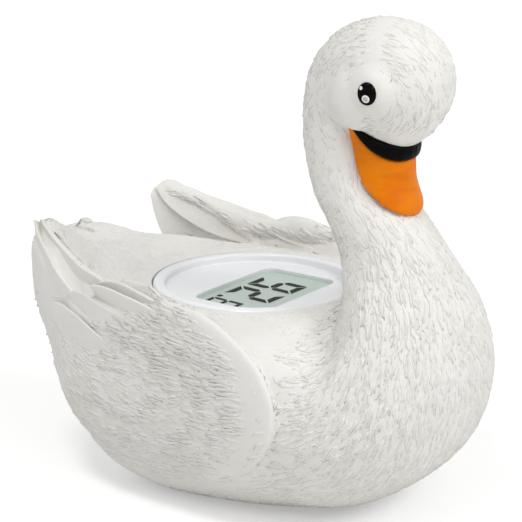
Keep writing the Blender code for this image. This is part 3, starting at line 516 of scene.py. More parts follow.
def section(station, around):
    """One closed ring of the swan's skin."""
    back, belly = np.array(station[0:2]), np.array(station[2:4])
    half_width, widest, upper, lower = station[4:8]
    height = float(np.linalg.norm(back - belly))
    up = (back - belly) / height
    centre = belly + widest * height * up
    ring = []
    for i in range(around):
        turn = 2 * math.pi * i / around
        over = math.sin(turn) > 0
        power = 2 / (upper if over else lower)
        reach = ((1 - widest) if over else widest) * height
        side = half_width * math.copysign(abs(math.cos(turn)) ** power, math.cos(turn))
        x, z = centre + reach * math.copysign(abs(math.sin(turn)) ** power, math.sin(turn)) * up
        ring.append(Vector((x, side, z)))
    return ring


WING_FLARE, WING_FLARE_FROM, WING_FLARE_REACH = 2.0 * MM, -39 * MM, 12 * MM
WING_TUCK, WING_TUCK_FROM, WING_TUCK_BELOW, WING_TUCK_REACH = 2.8 * MM, -34 * MM, 46 * MM, 14 * MM
EYE_MOUND_RADIUS, NEAR_THE_HEAD = 5.0 * MM, 1.6 * HEAD_RADIUS
EYE_MOUND = Vector((EYE_FORWARD, 0.94 * HEAD_RADIUS, EYE_ABOVE_CENTRE))
HEAD_CENTRE = Vector((HEAD_X, 0.0, HEAD_Z))
CHEEK = Vector((HEAD_X - 3.4 * MM, HEAD_RADIUS - 0.84 * CHEEK_SIZE, HEAD_Z - 2.2 * MM))


def swell_head(ring):
    """The smooth mounds that carry the eyes."""
    result = []
    for point in ring:
        offset = point - HEAD_CENTRE
        if offset.length < NEAR_THE_HEAD:
            mirrored = Vector((offset.x, abs(offset.y), offset.z))
            rise = EYE_MOUND_SWELL * math.exp(-((mirrored - EYE_MOUND).length / EYE_MOUND_RADIUS)**5)
            point = point + offset.normalized() * rise
        result.append(point)
    return result


def wing_face(x, z):
    """Distance of the wing's outer face from the middle plane."""
    above = z - WING_FACE_CENTRE_Z
    upright = above / (WING_FACE_RISE if above > 0 else WING_FACE_DROP)
    across = abs((x - WING_FACE_CENTRE_X) / WING_FACE_LENGTH) ** 3 + upright**2
    rear = part_way(WING_TUCK_FROM - x, WING_TUCK_REACH)
    low = part_way(WING_TUCK_BELOW - z, WING_TUCK_REACH)
    flare = WING_FLARE * part_way(WING_FLARE_FROM - x, WING_FLARE_REACH) * (1 - low)
    return WING_FACE_WIDTH * math.sqrt(max(1 - across, 0.05)) - WING_TUCK * rear * low + flare


def wing_outline():
    """Side view of the folded wing, from its tip over the top edge and round the front."""
    points = [(-51.2, 65.1), (-47.8, 64.3), (-42.8, 62.3), (-32.0, 58.8), (-23.4, 56.8), (-18.4, 56.8),
              (-13.2, 57.9), (-1.0, 56.4), (10.5, 55.0), (20.4, 50.4), (28.2, 43.4), (31.4, 36.0),
              (30.6, 28.0), (25.5, 19.6), (16.0, 13.0), (4.0, 10.0), (-9.0, 8.8), (-20.0, 9.8),
              (-27.0, 12.8), (-34.0, 18.6), (-42.0, 28.6), (-47.6, 38.0), (-50.9, 50.0), (-52.3, 59.0),
              (-52.4, 64.0)]
    return smooth_rows(in_metres(points), 150, (0, 1))


def pillow(name, outline, side, lift, depth, offset, extra, levels):
    """A leaf-like slab on the wing's face: full height in the middle and rounded down to its edge."""
    centre = np.mean(np.array(outline), axis=0)
    rings = []
    for sign, reach in ((1, lift), (-1, depth)):
        rows = []
        for level in levels:
            fullness = (1 - level**6) ** 0.5 if level < 1 else 0.0
            ring = []
            for point in outline:
                x, z = centre + level * (point - centre)
                y = wing_face(x, z) + offset(x, z) + sign * reach * fullness
                if sign > 0:
                    y -= extra(x, z) * fullness
                ring.append((x, side * y, z))
            rows.append(ring)
        rings.append(rows)
    outer, inner = rings
    return skinned(name, outer[::-1] + inner[1:])


WING_LEVELS = (1.0, 0.995, 0.985, 0.97, 0.95, 0.92, 0.87, 0.8, 0.65, 0.4)
WING_LIFT, WING_DEPTH = 0.35, 0.65

# Step behind the long feathers: the height of its edge along the wing, and how deep, steep and long it is
TERRACE_EDGE_X = (-56, -48, -40, -34, -29, -20, -11, -4, 4)
TERRACE_EDGE_Z = (60, 60.5, 59, 54.5, 51.5, 53, 52.5, 54, 58)
TERRACE_INSET, TERRACE_EDGE_SHARE = 4.4 * MM, 0.55
TERRACE_RAMP, TERRACE_FRONT, TERRACE_FADE = 4.0 * MM, 2.0 * MM, 8.0 * MM


def stepped_in(x, z):
    """How far the wing's rear top lies inside its outer face, behind the long feathers."""
    edge = float(np.interp(x / MM, TERRACE_EDGE_X, TERRACE_EDGE_Z)) * MM
    above = part_way(z - edge + TERRACE_RAMP / 2, TERRACE_RAMP)
    rear = part_way(TERRACE_FRONT - x, TERRACE_FADE)
    return TERRACE_INSET * above * above * (3 - 2 * above) * rear


def wing_shape(side, label):
    thick = WING_THICKNESS
    return pillow("wing_" + label, wing_outline(), side, WING_LIFT * thick, WING_DEPTH * thick,
                  lambda x, z: -WING_LIFT * thick - TERRACE_EDGE_SHARE * stepped_in(x, z),
                  lambda x, z: (1 - TERRACE_EDGE_SHARE) * stepped_in(x, z), WING_LEVELS)


# Upper edge, lower edge, how proud the feather stands at its tip and further on, whether both its edges
# stand up, and how thick it is, with all lengths in millimetres
LONG_FEATHERS = (
    ("inner_blade",
     ((-51.2, 64.4), (-50.2, 65.0), (-47.6, 64.2), (-44.8, 63.3), (-40.4, 61.6), (-33.9, 59.6), (-28.2, 57.9),
      (-23.9, 57.1), (-20.9, 56.2), (-15.0, 54.0), (-8.0, 51.0)),
     ((-51.4, 63.6), (-50.6, 61.0), (-49.0, 58.5), (-47.0, 56.5), (-42.0, 53.0), (-36.0, 50.5), (-29.0, 49.0),
      (-24.0, 48.0), (-20.0, 47.5), (-14.0, 47.0), (-8.0, 46.5)), (-4.0, -3.1), False, 1.1),
    ("top_leaf",
     ((-22.2, 55.6), (-19.8, 56.7), (-17.2, 57.4), (-12.8, 57.5), (-8.6, 56.7), (-4.4, 55.7), (0.8, 54.1),
      (7.0, 51.5)),
     ((-22.2, 54.9), (-20.0, 53.0), (-17.0, 51.6), (-13.0, 50.6), (-8.5, 49.6), (-4.0, 49.0), (1.0, 48.0),
      (7.0, 47.0)), (-1.9, -1.6), False, 2.6),
    ("outer_blade",
     ((-52.6, 64.0), (-51.3, 64.9), (-49.6, 64.5), (-47.6, 63.1), (-43.2, 60.9), (-38.5, 58.1), (-34.6, 55.6),
      (-31.6, 53.9), (-29.1, 52.3), (-24.0, 48.5)),
     ((-52.7, 63.2), (-52.6, 60.0), (-52.3, 56.0), (-51.4, 51.0), (-49.6, 46.0), (-46.6, 41.0), (-43.0, 36.6),
      (-39.0, 32.6), (-34.0, 30.0), (-28.0, 29.0)), (-2.2, 0.35), False, 3.2),
    ("upper_leaf",
     ((-22.9, 54.8), (-22.3, 55.5), (-19.7, 56.2), (-15.3, 56.2), (-11.1, 55.6), (-7.0, 55.0), (-3.9, 54.2),
      (4.0, 51.5)),
     ((-22.8, 54.2), (-21.6, 52.4), (-18.0, 50.5), (-14.0, 49.0), (-10.0, 48.0), (-6.0, 47.4), (-2.0, 46.8),
      (4.0, 46.0)), (0.1, 0.25), False, 3.2),
    ("middle_leaf",
     ((-31.4, 50.6), (-30.8, 52.0), (-28.6, 53.0), (-25.5, 53.4), (-21.7, 52.5), (-17.1, 51.6), (-11.2, 50.3),
      (-4.0, 47.5)),
     ((-31.5, 49.8), (-30.6, 47.0), (-27.5, 43.5), (-23.0, 41.0), (-18.0, 39.5), (-13.0, 38.5), (-8.0, 38.0),
      (-4.0, 38.0)), (0.55, 0.5), False, 3.2),
    ("lower_leaf",
     ((-37.4, 46.9), (-36.9, 48.0), (-34.8, 48.7), (-32.4, 48.8), (-29.3, 48.1), (-25.3, 46.8), (-21.2, 45.0),
      (-15.0, 41.5)),
     ((-37.4, 45.9), (-37.0, 44.6), (-36.3, 43.2), (-35.3, 41.8), (-33.6, 39.8), (-31.0, 36.8), (-27.0, 33.5),
      (-21.0, 31.0)), (1.35, 1.0), True, 3.2))
FEATHER_ACROSS = (0.0, 0.008, 0.02, 0.04, 0.07, 0.12, 0.2, 0.35, 0.5, 0.65, 0.8, 0.88, 0.93, 0.96, 0.98,
                  0.992, 1.0)
FEATHER_STATIONS, FEATHER_TIP_ROUND, FEATHER_EDGE_ROUND = 64, 0.8 * MM, 0.35 * MM
FEATHER_LIP, FEATHER_UNDERCUT, FEATHER_BACK = 0.5 * MM, 0.9, 0.05 * MM

# Where along its length a feather has reached its later height, and where and how far its root sinks in
FEATHER_RISEN_AT, ROOT_FROM, ROOT_SPAN, ROOT_SINK = 0.5, 0.55, 0.45, 1.7 * MM

# How far a feather slopes back across its width, and over what share of its length that comes in
PLAIN_SLOPE, TWO_EDGED_SLOPE, TWO_EDGED_SLOPE_GAIN, SLOPE_COMES_IN = 1.9, 0.7, 2.2, 0.3


def long_feather(name, upper, lower, proud, both_edges, thick, side):
    """A broad leaf on the wing, crisp and raised along its upper edge, that sinks in towards its root."""
    high = smooth_rows(in_metres(upper), FEATHER_STATIONS, (0, 1))
    low = smooth_rows(in_metres(lower), FEATHER_STATIONS, (0, 1))
    leaf_rings, run = [], 0.0
    for k, (top_edge, low_edge) in enumerate(zip(high, low)):
        share = k / (FEATHER_STATIONS - 1)
        if k:
            run += float(np.linalg.norm(top_edge - high[k - 1]))
        width = float(np.linalg.norm(top_edge - low_edge))
        blunt = quarter_round(run, FEATHER_TIP_ROUND)
        sink = max((share - ROOT_FROM) / ROOT_SPAN, 0.0)
        stand = (proud[0] + (proud[1] - proud[0]) * min(share / FEATHER_RISEN_AT, 1.0)) * MM
        stand -= ROOT_SINK * sink * sink
        outer, inner = [], []
        for part in FEATHER_ACROSS:
            x, z = top_edge + (low_edge - top_edge) * part
            edge = part * width
            if both_edges:
                edge = min(edge, (1 - part) * width)
            full = quarter_round(edge, FEATHER_EDGE_ROUND) * blunt
            slope = TWO_EDGED_SLOPE + TWO_EDGED_SLOPE_GAIN * share if both_edges else PLAIN_SLOPE
            fade = part * slope * MM
            if both_edges:
                fade *= min(share / SLOPE_COMES_IN, 1.0)
            top = wing_face(x, z) + stand - fade
            under = min(FEATHER_LIP + FEATHER_UNDERCUT * edge, thick * MM)
            outer.append((x, side * (top - under * (1 - full)), z))
            inner.append((x, side * (top - under - FEATHER_BACK), z))
        leaf_rings.append(outer + inner[::-1])
    piece = skinned(name, leaf_rings)
    smooth(piece, 55)
    return piece


def ball(name, place, radii):
    deselect()
    bpy.ops.mesh.primitive_uv_sphere_add(segments=64, ring_count=48, radius=1.0)
    piece = bpy.context.object
    piece.name = name
    piece.data.transform(Matrix.Translation(place) @ Matrix.Diagonal((*radii, 1.0)))
    return piece


# Plumage map: for any point of the skin, which way its strokes run and where it lies

plumage_rows = []
HULL, WING = 0, 1

stations = smooth_rows(swan_stations(), HULL_RINGS)
rings = [swell_head(section(row, POINTS_TO_A_RING)) for row in stations]
spine = np.cumsum([0.0] + [float(np.linalg.norm(b[:2] + b[2:4] - a[:2] - a[2:4])) / 2
                           for a, b in zip(stations, stations[1:])])
for r in range(len(rings) - 1):
    for i in range(0, POINTS_TO_A_RING, 2):
        here, ahead = rings[r][i], rings[r + 1][i]
        half_width = max(float(stations[r][4]), 8 * MM)
        grain = (float(spine[r]), i / POINTS_TO_A_RING * 2 * math.pi * half_width, 0.0)
        plumage_rows.append((here, (here - ahead).normalized(), grain, HULL))

body_shapes = [skinned("hull_and_neck", rings)]
for side, label in SIDES:
    shape = wing_shape(side, label)
    body_shapes.append(shape)
    for vertex in shape.data.vertices:
        x, y, z = vertex.co
        inner = abs(y) < wing_face(x, z) - stepped_in(x, z) - 0.55 * WING_THICKNESS
        upper = part_way(z - 38 * MM, 16 * MM)
        low_rear = part_way(-14 * MM - x, 16 * MM) * part_way(40 * MM - z, 10 * MM)
        rise = 0.02 + 0.24 * upper + 0.65 * low_rear
        way = Vector((-1.0, 0.0, 0.55 if inner else rise)).normalized()
        plumage_rows.append((vertex.co.copy(), way, (x, z, 0.0), WING))
    body_shapes.append(ball("cheek_" + label, Vector((CHEEK.x, side * CHEEK.y, CHEEK.z)),
                            (CHEEK_SIZE, CHEEK_SIZE, CHEEK_HEIGHT)))

# The tail's near edge curls up to the wing, and a small tuft stands on its crest
TAIL_CURL = ((-51.4, -23.6, 64.0), (-53.3, -20.0, 63.6), (-54.9, -15.0, 61.5), (-56.6, -10.5, 59.3),
             (-59.0, -6.5, 57.4), (-61.5, -3.0, 56.0))
CURL_TOP, CURL_ROUND = Vector((0.5, 0, 0.0)) * MM, Vector((1.0, 0.1, -0.25)) * MM
CURL_FOOT, CURL_UNDER = Vector((4.0, 0.6, -9.0)) * MM, Vector((0.3, 0, -1.2)) * MM
CURL_RUNS_IN, CURL_NARROWS, CURL_DROPS, CURL_DROPS_TO = 13 * MM, 0.92, 0.62, 47 * MM
CURL_INNER_THICKNESS = Vector((0, 0, 6 * MM))
TAIL_TUFT, TAIL_TUFT_RADII = Vector((-57.6, 0.2, 57.9)) * MM, (1.9 * MM, 1.2 * MM, 0.9 * MM)
curl_rings = []
for x, y, z in smooth_rows(in_metres(TAIL_CURL), 30, (0, 1, 2)):
    inner = Vector((x + CURL_RUNS_IN, CURL_NARROWS * y, z - CURL_DROPS * (z - CURL_DROPS_TO)))
    rim = Vector((x, y, z))
    curl_rings.append([rim + CURL_TOP, rim + CURL_ROUND, inner, inner - CURL_INNER_THICKNESS, rim + CURL_FOOT,
                       rim + CURL_UNDER])
body_shapes.append(skinned("tail_curl", curl_rings))
body_shapes.append(ball("tail_tuft", TAIL_TUFT, TAIL_TUFT_RADII))

plumage = KDTree(len(plumage_rows))
for index, row in enumerate(plumage_rows):
    plumage.insert(row[0], index)
plumage.balance()

# Mouth line: the head's underside dips in front and rises to the corner of the mouth

MOUTH_CORNER_X, MOUTH_CORNER_LIFT, MOUTH_SLOPE, MOUTH_Z = 27.5 * MM, 2.0 * MM, 0.21, 90.5 * MM
LIP_ABOVE, LIP_HEIGHT, LIP_FROM, LIP_EASE, LIP_DIP = 1.5 * MM, 5.5 * MM, 22.5 * MM, 4 * MM, 1.3 * MM


def mouth_shift(x):
    return MOUTH_CORNER_LIFT - MOUTH_SLOPE * max(x - MOUTH_CORNER_X, 0.0)


def shift_head(mesh):
    """Move the lip of the head, and nothing above the eye or below the mouth."""
    for vertex in mesh.vertices:
        x, y, z = vertex.co
        near = math.exp(-((z - MOUTH_Z - LIP_ABOVE) / LIP_HEIGHT) ** 2)
        ahead = part_way(x - LIP_FROM, LIP_EASE)
        if near > 0.01 and ahead > 0:
            vertex.co.z = z + near * ahead * max(mouth_shift(x), -LIP_DIP)


def shift_mouth(piece, reach):
    """Lift the beak's and the band's rear corners with the lip, less and less towards their lower edge."""
    low = min(v.co.z for v in piece.data.vertices)
    for vertex in piece.data.vertices:
        x = vertex.co.x - DATUM.x
        share = part_way(vertex.co.z - low, reach)
        vertex.co.z += share * max(mouth_shift(x), 0.0)


# Swan skin: one closed surface

swan_skin = join_pieces(body_shapes, "carved_swan_skin")
apply_modifier(swan_skin, "REMESH", mode="VOXEL", voxel_size=1.0 * VOXEL)
apply_modifier(swan_skin, "SMOOTH", factor=0.5, iterations=3)
shift_head(swan_skin.data)

SEAL_THICKNESS, WELL_FLOOR, WELL_CLEARS, PORT_START, PORT_TOP = 0.6 * MM, 20 * MM, 4 * MM, -5 * MM, 21 * MM
seat_height = RIM_HEIGHT - RIM_THICKNESS - 2 * GAP - SEAL_THICKNESS
well_top = RIM_HEIGHT + WELL_CLEARS
wall, seat, stem = MODULE_RADIUS + GAP, RIM_RADIUS + GAP, STEM_RADIUS + GAP
well = turned("module_well", [(0.0, WELL_FLOOR), (wall, WELL_FLOOR), (wall, seat_height), (seat, seat_height),
                              (seat, well_top), (0.0, well_top)], MODULE_X - DATUM.x, 120)
port = turned("belly_port", [(0.0, PORT_START), (stem, PORT_START), (stem, PORT_TOP), (0.0, PORT_TOP)],
              MODULE_X - DATUM.x, 120)
ground = rounded_block("belly_trim", x=0.0, length=0.3, width=0.2, corner=0.01, low=-20 * MM, high=0.0)
for cutter in (well, port, ground):
    cut_away(swan_skin, cutter, "MANIFOLD")
triangles = sum(len(face.vertices) - 2 for face in swan_skin.data.polygons)
if triangles > SKIN_TRIANGLES:
    apply_modifier(swan_skin, "DECIMATE", ratio=SKIN_TRIANGLES / triangles)
smooth(swan_skin, 50)

skin_mesh = swan_skin.data
grain_map = skin_mesh.attributes.new("plumage", "FLOAT_VECTOR", "POINT")
values = np.zeros((len(skin_mesh.vertices), 3), np.float32)
for vertex in skin_mesh.vertices:
    values[vertex.index] = plumage_rows[plumage.find(vertex.co)[1]][2]
grain_map.data.foreach_set("vector", values.ravel())


# Strokes: short raised tufts that follow the plumage

def line_side(x, z, points):
    """How far a point lies in front of a chain of (x, z) points that runs down the wing."""
    for (xa, za), (xb, zb) in zip(points, points[1:]):
        if za >= z >= zb:
            return x - (xa + (xb - xa) * (za - z) / (za - zb))
    return x - (points[0][0] if z > points[0][1] else points[-1][0])


BARE_WING_EDGE = in_metres(((0, 60), (-5, 55.5), (-10.5, 51.5), (-12.5, 49), (-18, 45), (-21, 41),
                            (-24.5, 36), (-27.5, 32), (-31, 28), (-38, 20), (-44, 8)))
WING_FRONT_EDGE = in_metres(((4, 58), (12, 54.5), (20.4, 50.4), (28.2, 43.4), (31.4, 36.0), (30.6, 28.0),
                             (25.5, 19.6), (16, 13)))
WING_EDGE_POINTS = [Vector((x, 0.0, z)) for x, z in wing_outline()]

# Length, width and height of the tufts in each region
WING_TUFT = (5.6 * MM, 1.00 * MM, 0.36 * MM)
INNER_WING_TUFT = (5.0 * MM, 0.90 * MM, 0.38 * MM)
HEAD_TUFT = (3.2 * MM, 0.50 * MM, 0.23 * MM)
BREAST_TUFT = (4.6 * MM, 0.80 * MM, 0.26 * MM)
DECK_TUFT = (3.4 * MM, 0.60 * MM, 0.12 * MM)
HULL_TUFT = (4.0 * MM, 0.66 * MM, 0.19 * MM)

# Smooth margins that stay without tufts
RIM_MARGIN, WING_MARGIN, EYE_MARGIN, CHEEK_MARGIN = 2.2 * MM, 3.6 * MM, 5.4 * MM, 8.4 * MM


def tuft_at(point, normal, kind, dice):
    """Length, width and height of a tuft at this place, or None where the skin is bare."""
    x, y, z = point
    if z < 1.0 * MM or normal.z < -0.97:
        return None
    from_module = math.hypot(x - MODULE_X + DATUM.x, y)
    if from_module < RIM_RADIUS + RIM_MARGIN and z < 54 * MM and normal.z > -0.2:
        return None
    if kind == WING:
        outer = abs(y) > wing_face(x, z) - stepped_in(x, z) - 0.5 * WING_THICKNESS
        if outer:
            fade = line_side(x, z, BARE_WING_EDGE) / (5 * MM)
            front = -(line_side(x, z, WING_FRONT_EDGE) + 3.2 * MM) / (5 * MM)
            share = min(fade, front, 1.0)
            patchy = 0.7 + 0.7 * noise.noise(Vector((x * 75.0, z * 190.0, 3.7 + y)))
            if share * patchy < dice.random() * 0.6 or abs(normal.y) < 0.45:
                return None
            lively = 0.7 + 0.5 * part_way(z - 14 * MM, 26 * MM)
            length, width, height = WING_TUFT
            return length, width, height * lively * (0.6 + 0.4 * share) * (0.7 + 0.4 * patchy)
        if normal.z > 0.75 or abs(normal.y) < 0.35:
            return None
        return INNER_WING_TUFT
    from_wing = min((Vector((x, 0.0, z)) - edge).length for edge in WING_EDGE_POINTS[::3])
    if from_wing < WING_MARGIN and abs(y) > 25 * MM:
        return None
    mirrored = Vector((x, abs(y), z))
    from_eye, from_cheek = (mirrored - HEAD_CENTRE - EYE_MOUND).length, (mirrored - CHEEK).length
    if from_eye < EYE_MARGIN or from_cheek < CHEEK_MARGIN:
        return None
    if z > HEAD_Z - 17 * MM:
        lip = part_way(z - MOUTH_Z - 4 * MM, 4 * MM) if x > 27 * MM else 1.0
        if lip < dice.random():
            return None
        return HEAD_TUFT
    if x > 12 * MM and z > DECK_HEIGHT + 3 * MM:
        low = part_way(88 * MM - z, 28 * MM)
        return (3.4 + 1.6 * low) * MM, (0.48 + 0.36 * low) * MM, (0.17 + 0.15 * low) * MM
    if x > 30 * MM:
        return BREAST_TUFT
    if z > DECK_HEIGHT - 4 * MM:
        return DECK_TUFT
    return HULL_TUFT


def scatter_tufts():
    """Read evenly spread points of the skin, and what tuft each carries."""
    dice = np.random.default_rng(SEED)
    surface = BVHTree.FromPolygons([vertex.co for vertex in skin_mesh.vertices],
                                   [tuple(face.vertices) for face in skin_mesh.polygons])
    skin_mesh.calc_loop_triangles()
    corners = np.array([[skin_mesh.vertices[i].co[:] for i in t.vertices] for t in skin_mesh.loop_triangles])
    first, second = corners[:, 1] - corners[:, 0], corners[:, 2] - corners[:, 0]
    areas = np.linalg.norm(np.cross(first, second), axis=1) / 2
    count = int(areas.sum() * 1e6 * STROKES_PER_SQUARE_MM * (1.0))
    chosen = np.searchsorted(np.cumsum(areas) / areas.sum(), dice.random(count))
    a, b = np.sqrt(dice.random(count)), dice.random(count)
    picked = corners[np.minimum(chosen, len(corners) - 1)]
    spots = (picked[:, 0] * (1 - a)[:, None] + picked[:, 1] * (a * (1 - b))[:, None]
             + picked[:, 2] * (a * b)[:, None])
    kept = {"wings": [], "neck": [], "hull": []}
    for spot in spots:
        point, normal, _, _ = surface.find_nearest(Vector(spot))
        _, way, _, kind = plumage_rows[plumage.find(point)[1]]
        size = tuft_at(point, normal, kind, dice)
        if size is None:
            continue
        length, width, height = size
        length *= 0.55 + 0.9 * dice.random()
        width *= 0.7 + 0.6 * dice.random()
        height *= 0.35 + 1.1 * dice.random()
        if point.z > HEAD_Z - 15 * MM and point.x > HEAD_X - 14 * MM:
            eye_place = HEAD_CENTRE + Vector((EYE_MOUND.x, math.copysign(EYE_MOUND.y, point.y), EYE_MOUND.z))
            round_eye = normal.cross(point - eye_place)
            way = (round_eye if round_eye.z < 0 else -round_eye).normalized()
        way = way - normal * way.dot(normal)
        if way.length < 0.2:
            continue
        sway = (0.10 if kind == WING else 0.16) * float(dice.standard_normal())
        way = Matrix.Rotation(sway, 3, normal) @ way.normalized()
        bend = 0.10 * length * float(dice.standard_normal())
        across = normal.cross(way)
        path = [(point, normal)]
        for share, drift in ((0.38, 1.0), (0.78, 0.6), (1.0, -0.4)):
            spot = point + way * length * share + across * bend * drift
            path.append(tuple(surface.find_nearest(spot)[:2]))
        region = "wings" if kind == WING else ("neck" if point.x > 30 * MM or point.z > 60 * MM else "hull")
        kept[region].append((path, width, height))
    return kept


# Rise and half width of a tuft at its four stations, as shares of its height and width
STATION_RISE = (0.0, 0.62, 1.0, 0.0)
STATION_WIDTH = (0.0, 0.5, 0.42, 0.0)
TUFT_FACES = ((0, 3, 2), (0, 2, 1), (3, 6, 5, 2), (2, 5, 4, 1), (6, 7, 5), (5, 7, 4), (0, 1, 3), (1, 4, 6, 3),
              (4, 7, 6))


def tufts_piece(name, tufts):
    """One closed sliver for each tuft: a low ridge that rises along its length and ends in a point."""
    points, faces = [], []
    for path, width, height in tufts:
        start = len(points)
        spots = [p for p, _ in path]
        points.append(spots[0] - path[0][1] * 0.06 * MM)
        for k in (1, 2):
            spot, normal = path[k]
            along = (spots[k + 1] - spots[k - 1]).normalized()
            across = normal.cross(along).normalized() * width * STATION_WIDTH[k]
            sunk = spot - normal * 0.07 * MM
            points += [sunk + across, spot + normal * height * STATION_RISE[k], sunk - across]
        points.append(spots[3] - path[3][1] * 0.05 * MM)
        faces += [tuple(start + i for i in face) for face in TUFT_FACES]
    return mesh_piece(name, points, faces)


for region, tufts in scatter_tufts().items():
    whole = tufts_piece("carved_strokes_" + region, tufts)
    whole.data.transform(Matrix.Translation(DATUM))
    smooth(whole)
    dress(whole, "skin", STROKE_SKIN)

for side, label in SIDES:
    for name, upper, lower, proud, both_edges, thick in LONG_FEATHERS:
        leaf = long_feather("%s_%s" % (name, label), upper, lower, proud, both_edges, thick, side)
        leaf.data.transform(Matrix.Translation(DATUM))
        dress(leaf, "skin", STROKE_SKIN)

swan_skin.data.transform(Matrix.Translation(DATUM))
dress(swan_skin, "skin")
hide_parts("swan_body")

# Beak, band and eyes

beak = dress(refined("beak", "smooth_beak", voxel=0.28 * MM, relax=24), "beak_orange")
band = dress(refined("beak_band", "smooth_band", voxel=0.20 * MM, relax=16), "gloss_black")
BEAK_WIDENING, BEAK_WIDE_BELOW, BEAK_WIDEST_AT = 0.42, 91 * MM, 76 * MM
for vertex in beak.data.vertices:
    lower = part_way(BEAK_WIDE_BELOW - vertex.co.z, BEAK_WIDE_BELOW - BEAK_WIDEST_AT)
    vertex.co.y *= 1 + BEAK_WIDENING * lower * lower * (3 - 2 * lower)
shift_mouth(beak, reach=12 * MM)
shift_mouth(band, reach=4 * MM)

# Each glint's place across and up, radius and height on the eye, in millimetres, and its paint
GLINTS = (("large_glint", 0.05, -1.02, 0.92, 0.04, GLINT),
          ("glint_heart", 0.05, -1.02, 0.66, 0.09, GLINT_GREY),
          ("small_glint", -1.18, 1.38, 0.42, 0.04, GLINT))
GLINT_RINGS, GLINT_POINTS, GLINT_DEPTH = 6, 40, 0.25 * MM
EYE_SITS_AT = 0.85 * EYE_MOUND_SWELL


def eye_parts(side, label):
    """A glossy domed eye with its two painted glints."""
    outward = Vector((EYE_FORWARD, side * HEAD_RADIUS, EYE_ABOVE_CENTRE)).normalized()
    place = HEAD_CENTRE + DATUM + outward * (HEAD_RADIUS + EYE_SITS_AT)
    turn = outward.to_track_quat("Y", "Z").to_matrix().to_4x4()
    frame_matrix = Matrix.Translation(place) @ turn
    eye = ball("domed_eye_" + label, Vector(), (EYE_HALF_WIDTH, EYE_HALF_DEPTH, EYE_HALF_HEIGHT))
    eye.data.transform(frame_matrix)
    smooth(eye)
    dress(eye, "gloss_black", EYE)
    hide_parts("eye_" + label)
    ahead = -1.0 if side < 0 else 1.0
    for name, u, v, radius, proud, finish in GLINTS:
        piece = glint("%s_%s" % (name, label), ahead * u * MM, v * MM, radius * MM, proud * MM)
        piece.data.transform(frame_matrix)
        dress(piece, "gloss_black", finish)


def glint(name, u, v, radius, proud):
    """A round dab of paint that follows the dome of the eye."""
    def on_dome(x, z, lift):
        inside = max(1 - (x / EYE_HALF_WIDTH) ** 2 - (z / EYE_HALF_HEIGHT) ** 2, 0.0)
        return Vector((x, EYE_HALF_DEPTH * math.sqrt(inside) + lift, z))

    rows = []
    turns = [2 * math.pi * i / GLINT_POINTS for i in range(GLINT_POINTS)]
    for r in range(GLINT_RINGS + 1):
        outward = 1 - r / GLINT_RINGS
        reach = max(radius * outward, 0.02 * radius)
        lift = proud * math.sqrt(max(1 - outward ** 4, 0.0))
        rows.append([on_dome(u + reach * math.cos(t), v + reach * math.sin(t), lift) for t in turns])
    foot = [point - Vector((0, GLINT_DEPTH, 0)) for point in rows[0]]
    piece = skinned(name, rows[::-1] + [foot])
    smooth(piece, 40)
    return piece


for side, label in SIDES:
    eye_parts(side, label)

# Display module

RIM_ROUND_RISE, SKIRT_LENGTH = 0.4 * MM, 5 * MM
rim_top = RIM_HEIGHT + RIM_ROUND_RISE
inner = RIM_RADIUS - RIM_WIDTH
panel_top = RIM_HEIGHT - PANEL_DROP
panel_low = panel_top - PANEL_THICKNESS
flange_low = RIM_HEIGHT - RIM_THICKNESS


def arc(cx, cz, radius, start, end):
    """Points of a round edge in the rim's outline, from one angle to another."""
    turns = [math.radians(start + (end - start) * i / 6) for i in range(7)]
    return [(cx + radius * math.cos(t), cz + radius * math.sin(t)) for t in turns]


outer_round, inner_round, foot_round = 0.9 * MM, 0.7 * MM, 0.4 * MM
bezel_profile = ([(RIM_RADIUS, flange_low)]
                 + arc(RIM_RADIUS - outer_round, rim_top - outer_round, outer_round, 0, 90)
                 + arc(inner + inner_round, rim_top - inner_round, inner_round, 90, 180)
                 + arc(inner - foot_round, panel_top + foot_round, foot_round, 0, -90)
                 + [(0.0, panel_top), (0.0, panel_low), (MODULE_RADIUS - MODULE_WALL, panel_low),
                    (MODULE_RADIUS - MODULE_WALL, panel_low - SKIRT_LENGTH),
                    (MODULE_RADIUS, panel_low - SKIRT_LENGTH), (MODULE_RADIUS, flange_low)])
bezel = turned("turned_bezel", bezel_profile, MODULE_X, 200)
opening = rounded_block("window_opening", WINDOW_X, WINDOW_LENGTH, WINDOW_WIDTH, WINDOW_CORNER,
                        panel_low - MM, RIM_HEIGHT + MM)
cut_away(bezel, opening, "EXACT")
smooth(bezel, 38)
dress(bezel, "module_white")
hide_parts("module_bezel")

# Display face, its clear pane, and digits of seven-segment bars that are read from the tail

DISPLAY_TOP, DISPLAY_DEPTH, PANE_TOP, PANE_DEPTH = 48.5 * MM, 1.2 * MM, 49.15 * MM, 0.4 * MM
SNUG = 0.12 * MM
snug_size = (WINDOW_LENGTH - 2 * SNUG, WINDOW_WIDTH - 2 * SNUG, WINDOW_CORNER - SNUG)
display_face = rounded_block("display_face", WINDOW_X, *snug_size, DISPLAY_TOP - DISPLAY_DEPTH, DISPLAY_TOP)
pane = rounded_block("clear_pane", WINDOW_X, *snug_size, PANE_TOP - PANE_DEPTH, PANE_TOP)
dress(display_face, "display")
dress(pane, "window")
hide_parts("lcd_panel")
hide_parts("display_window")
SEGMENTS_OF = {"9": "abcdfg", "2": "abdeg", "6": "acdefg", "7": "abc"}
BAR_THICKNESS, BAR_CLEARS, BAR_CUT, DIGIT_SLANT = 0.06 * MM, 0.02 * MM, 0.22, 0.06


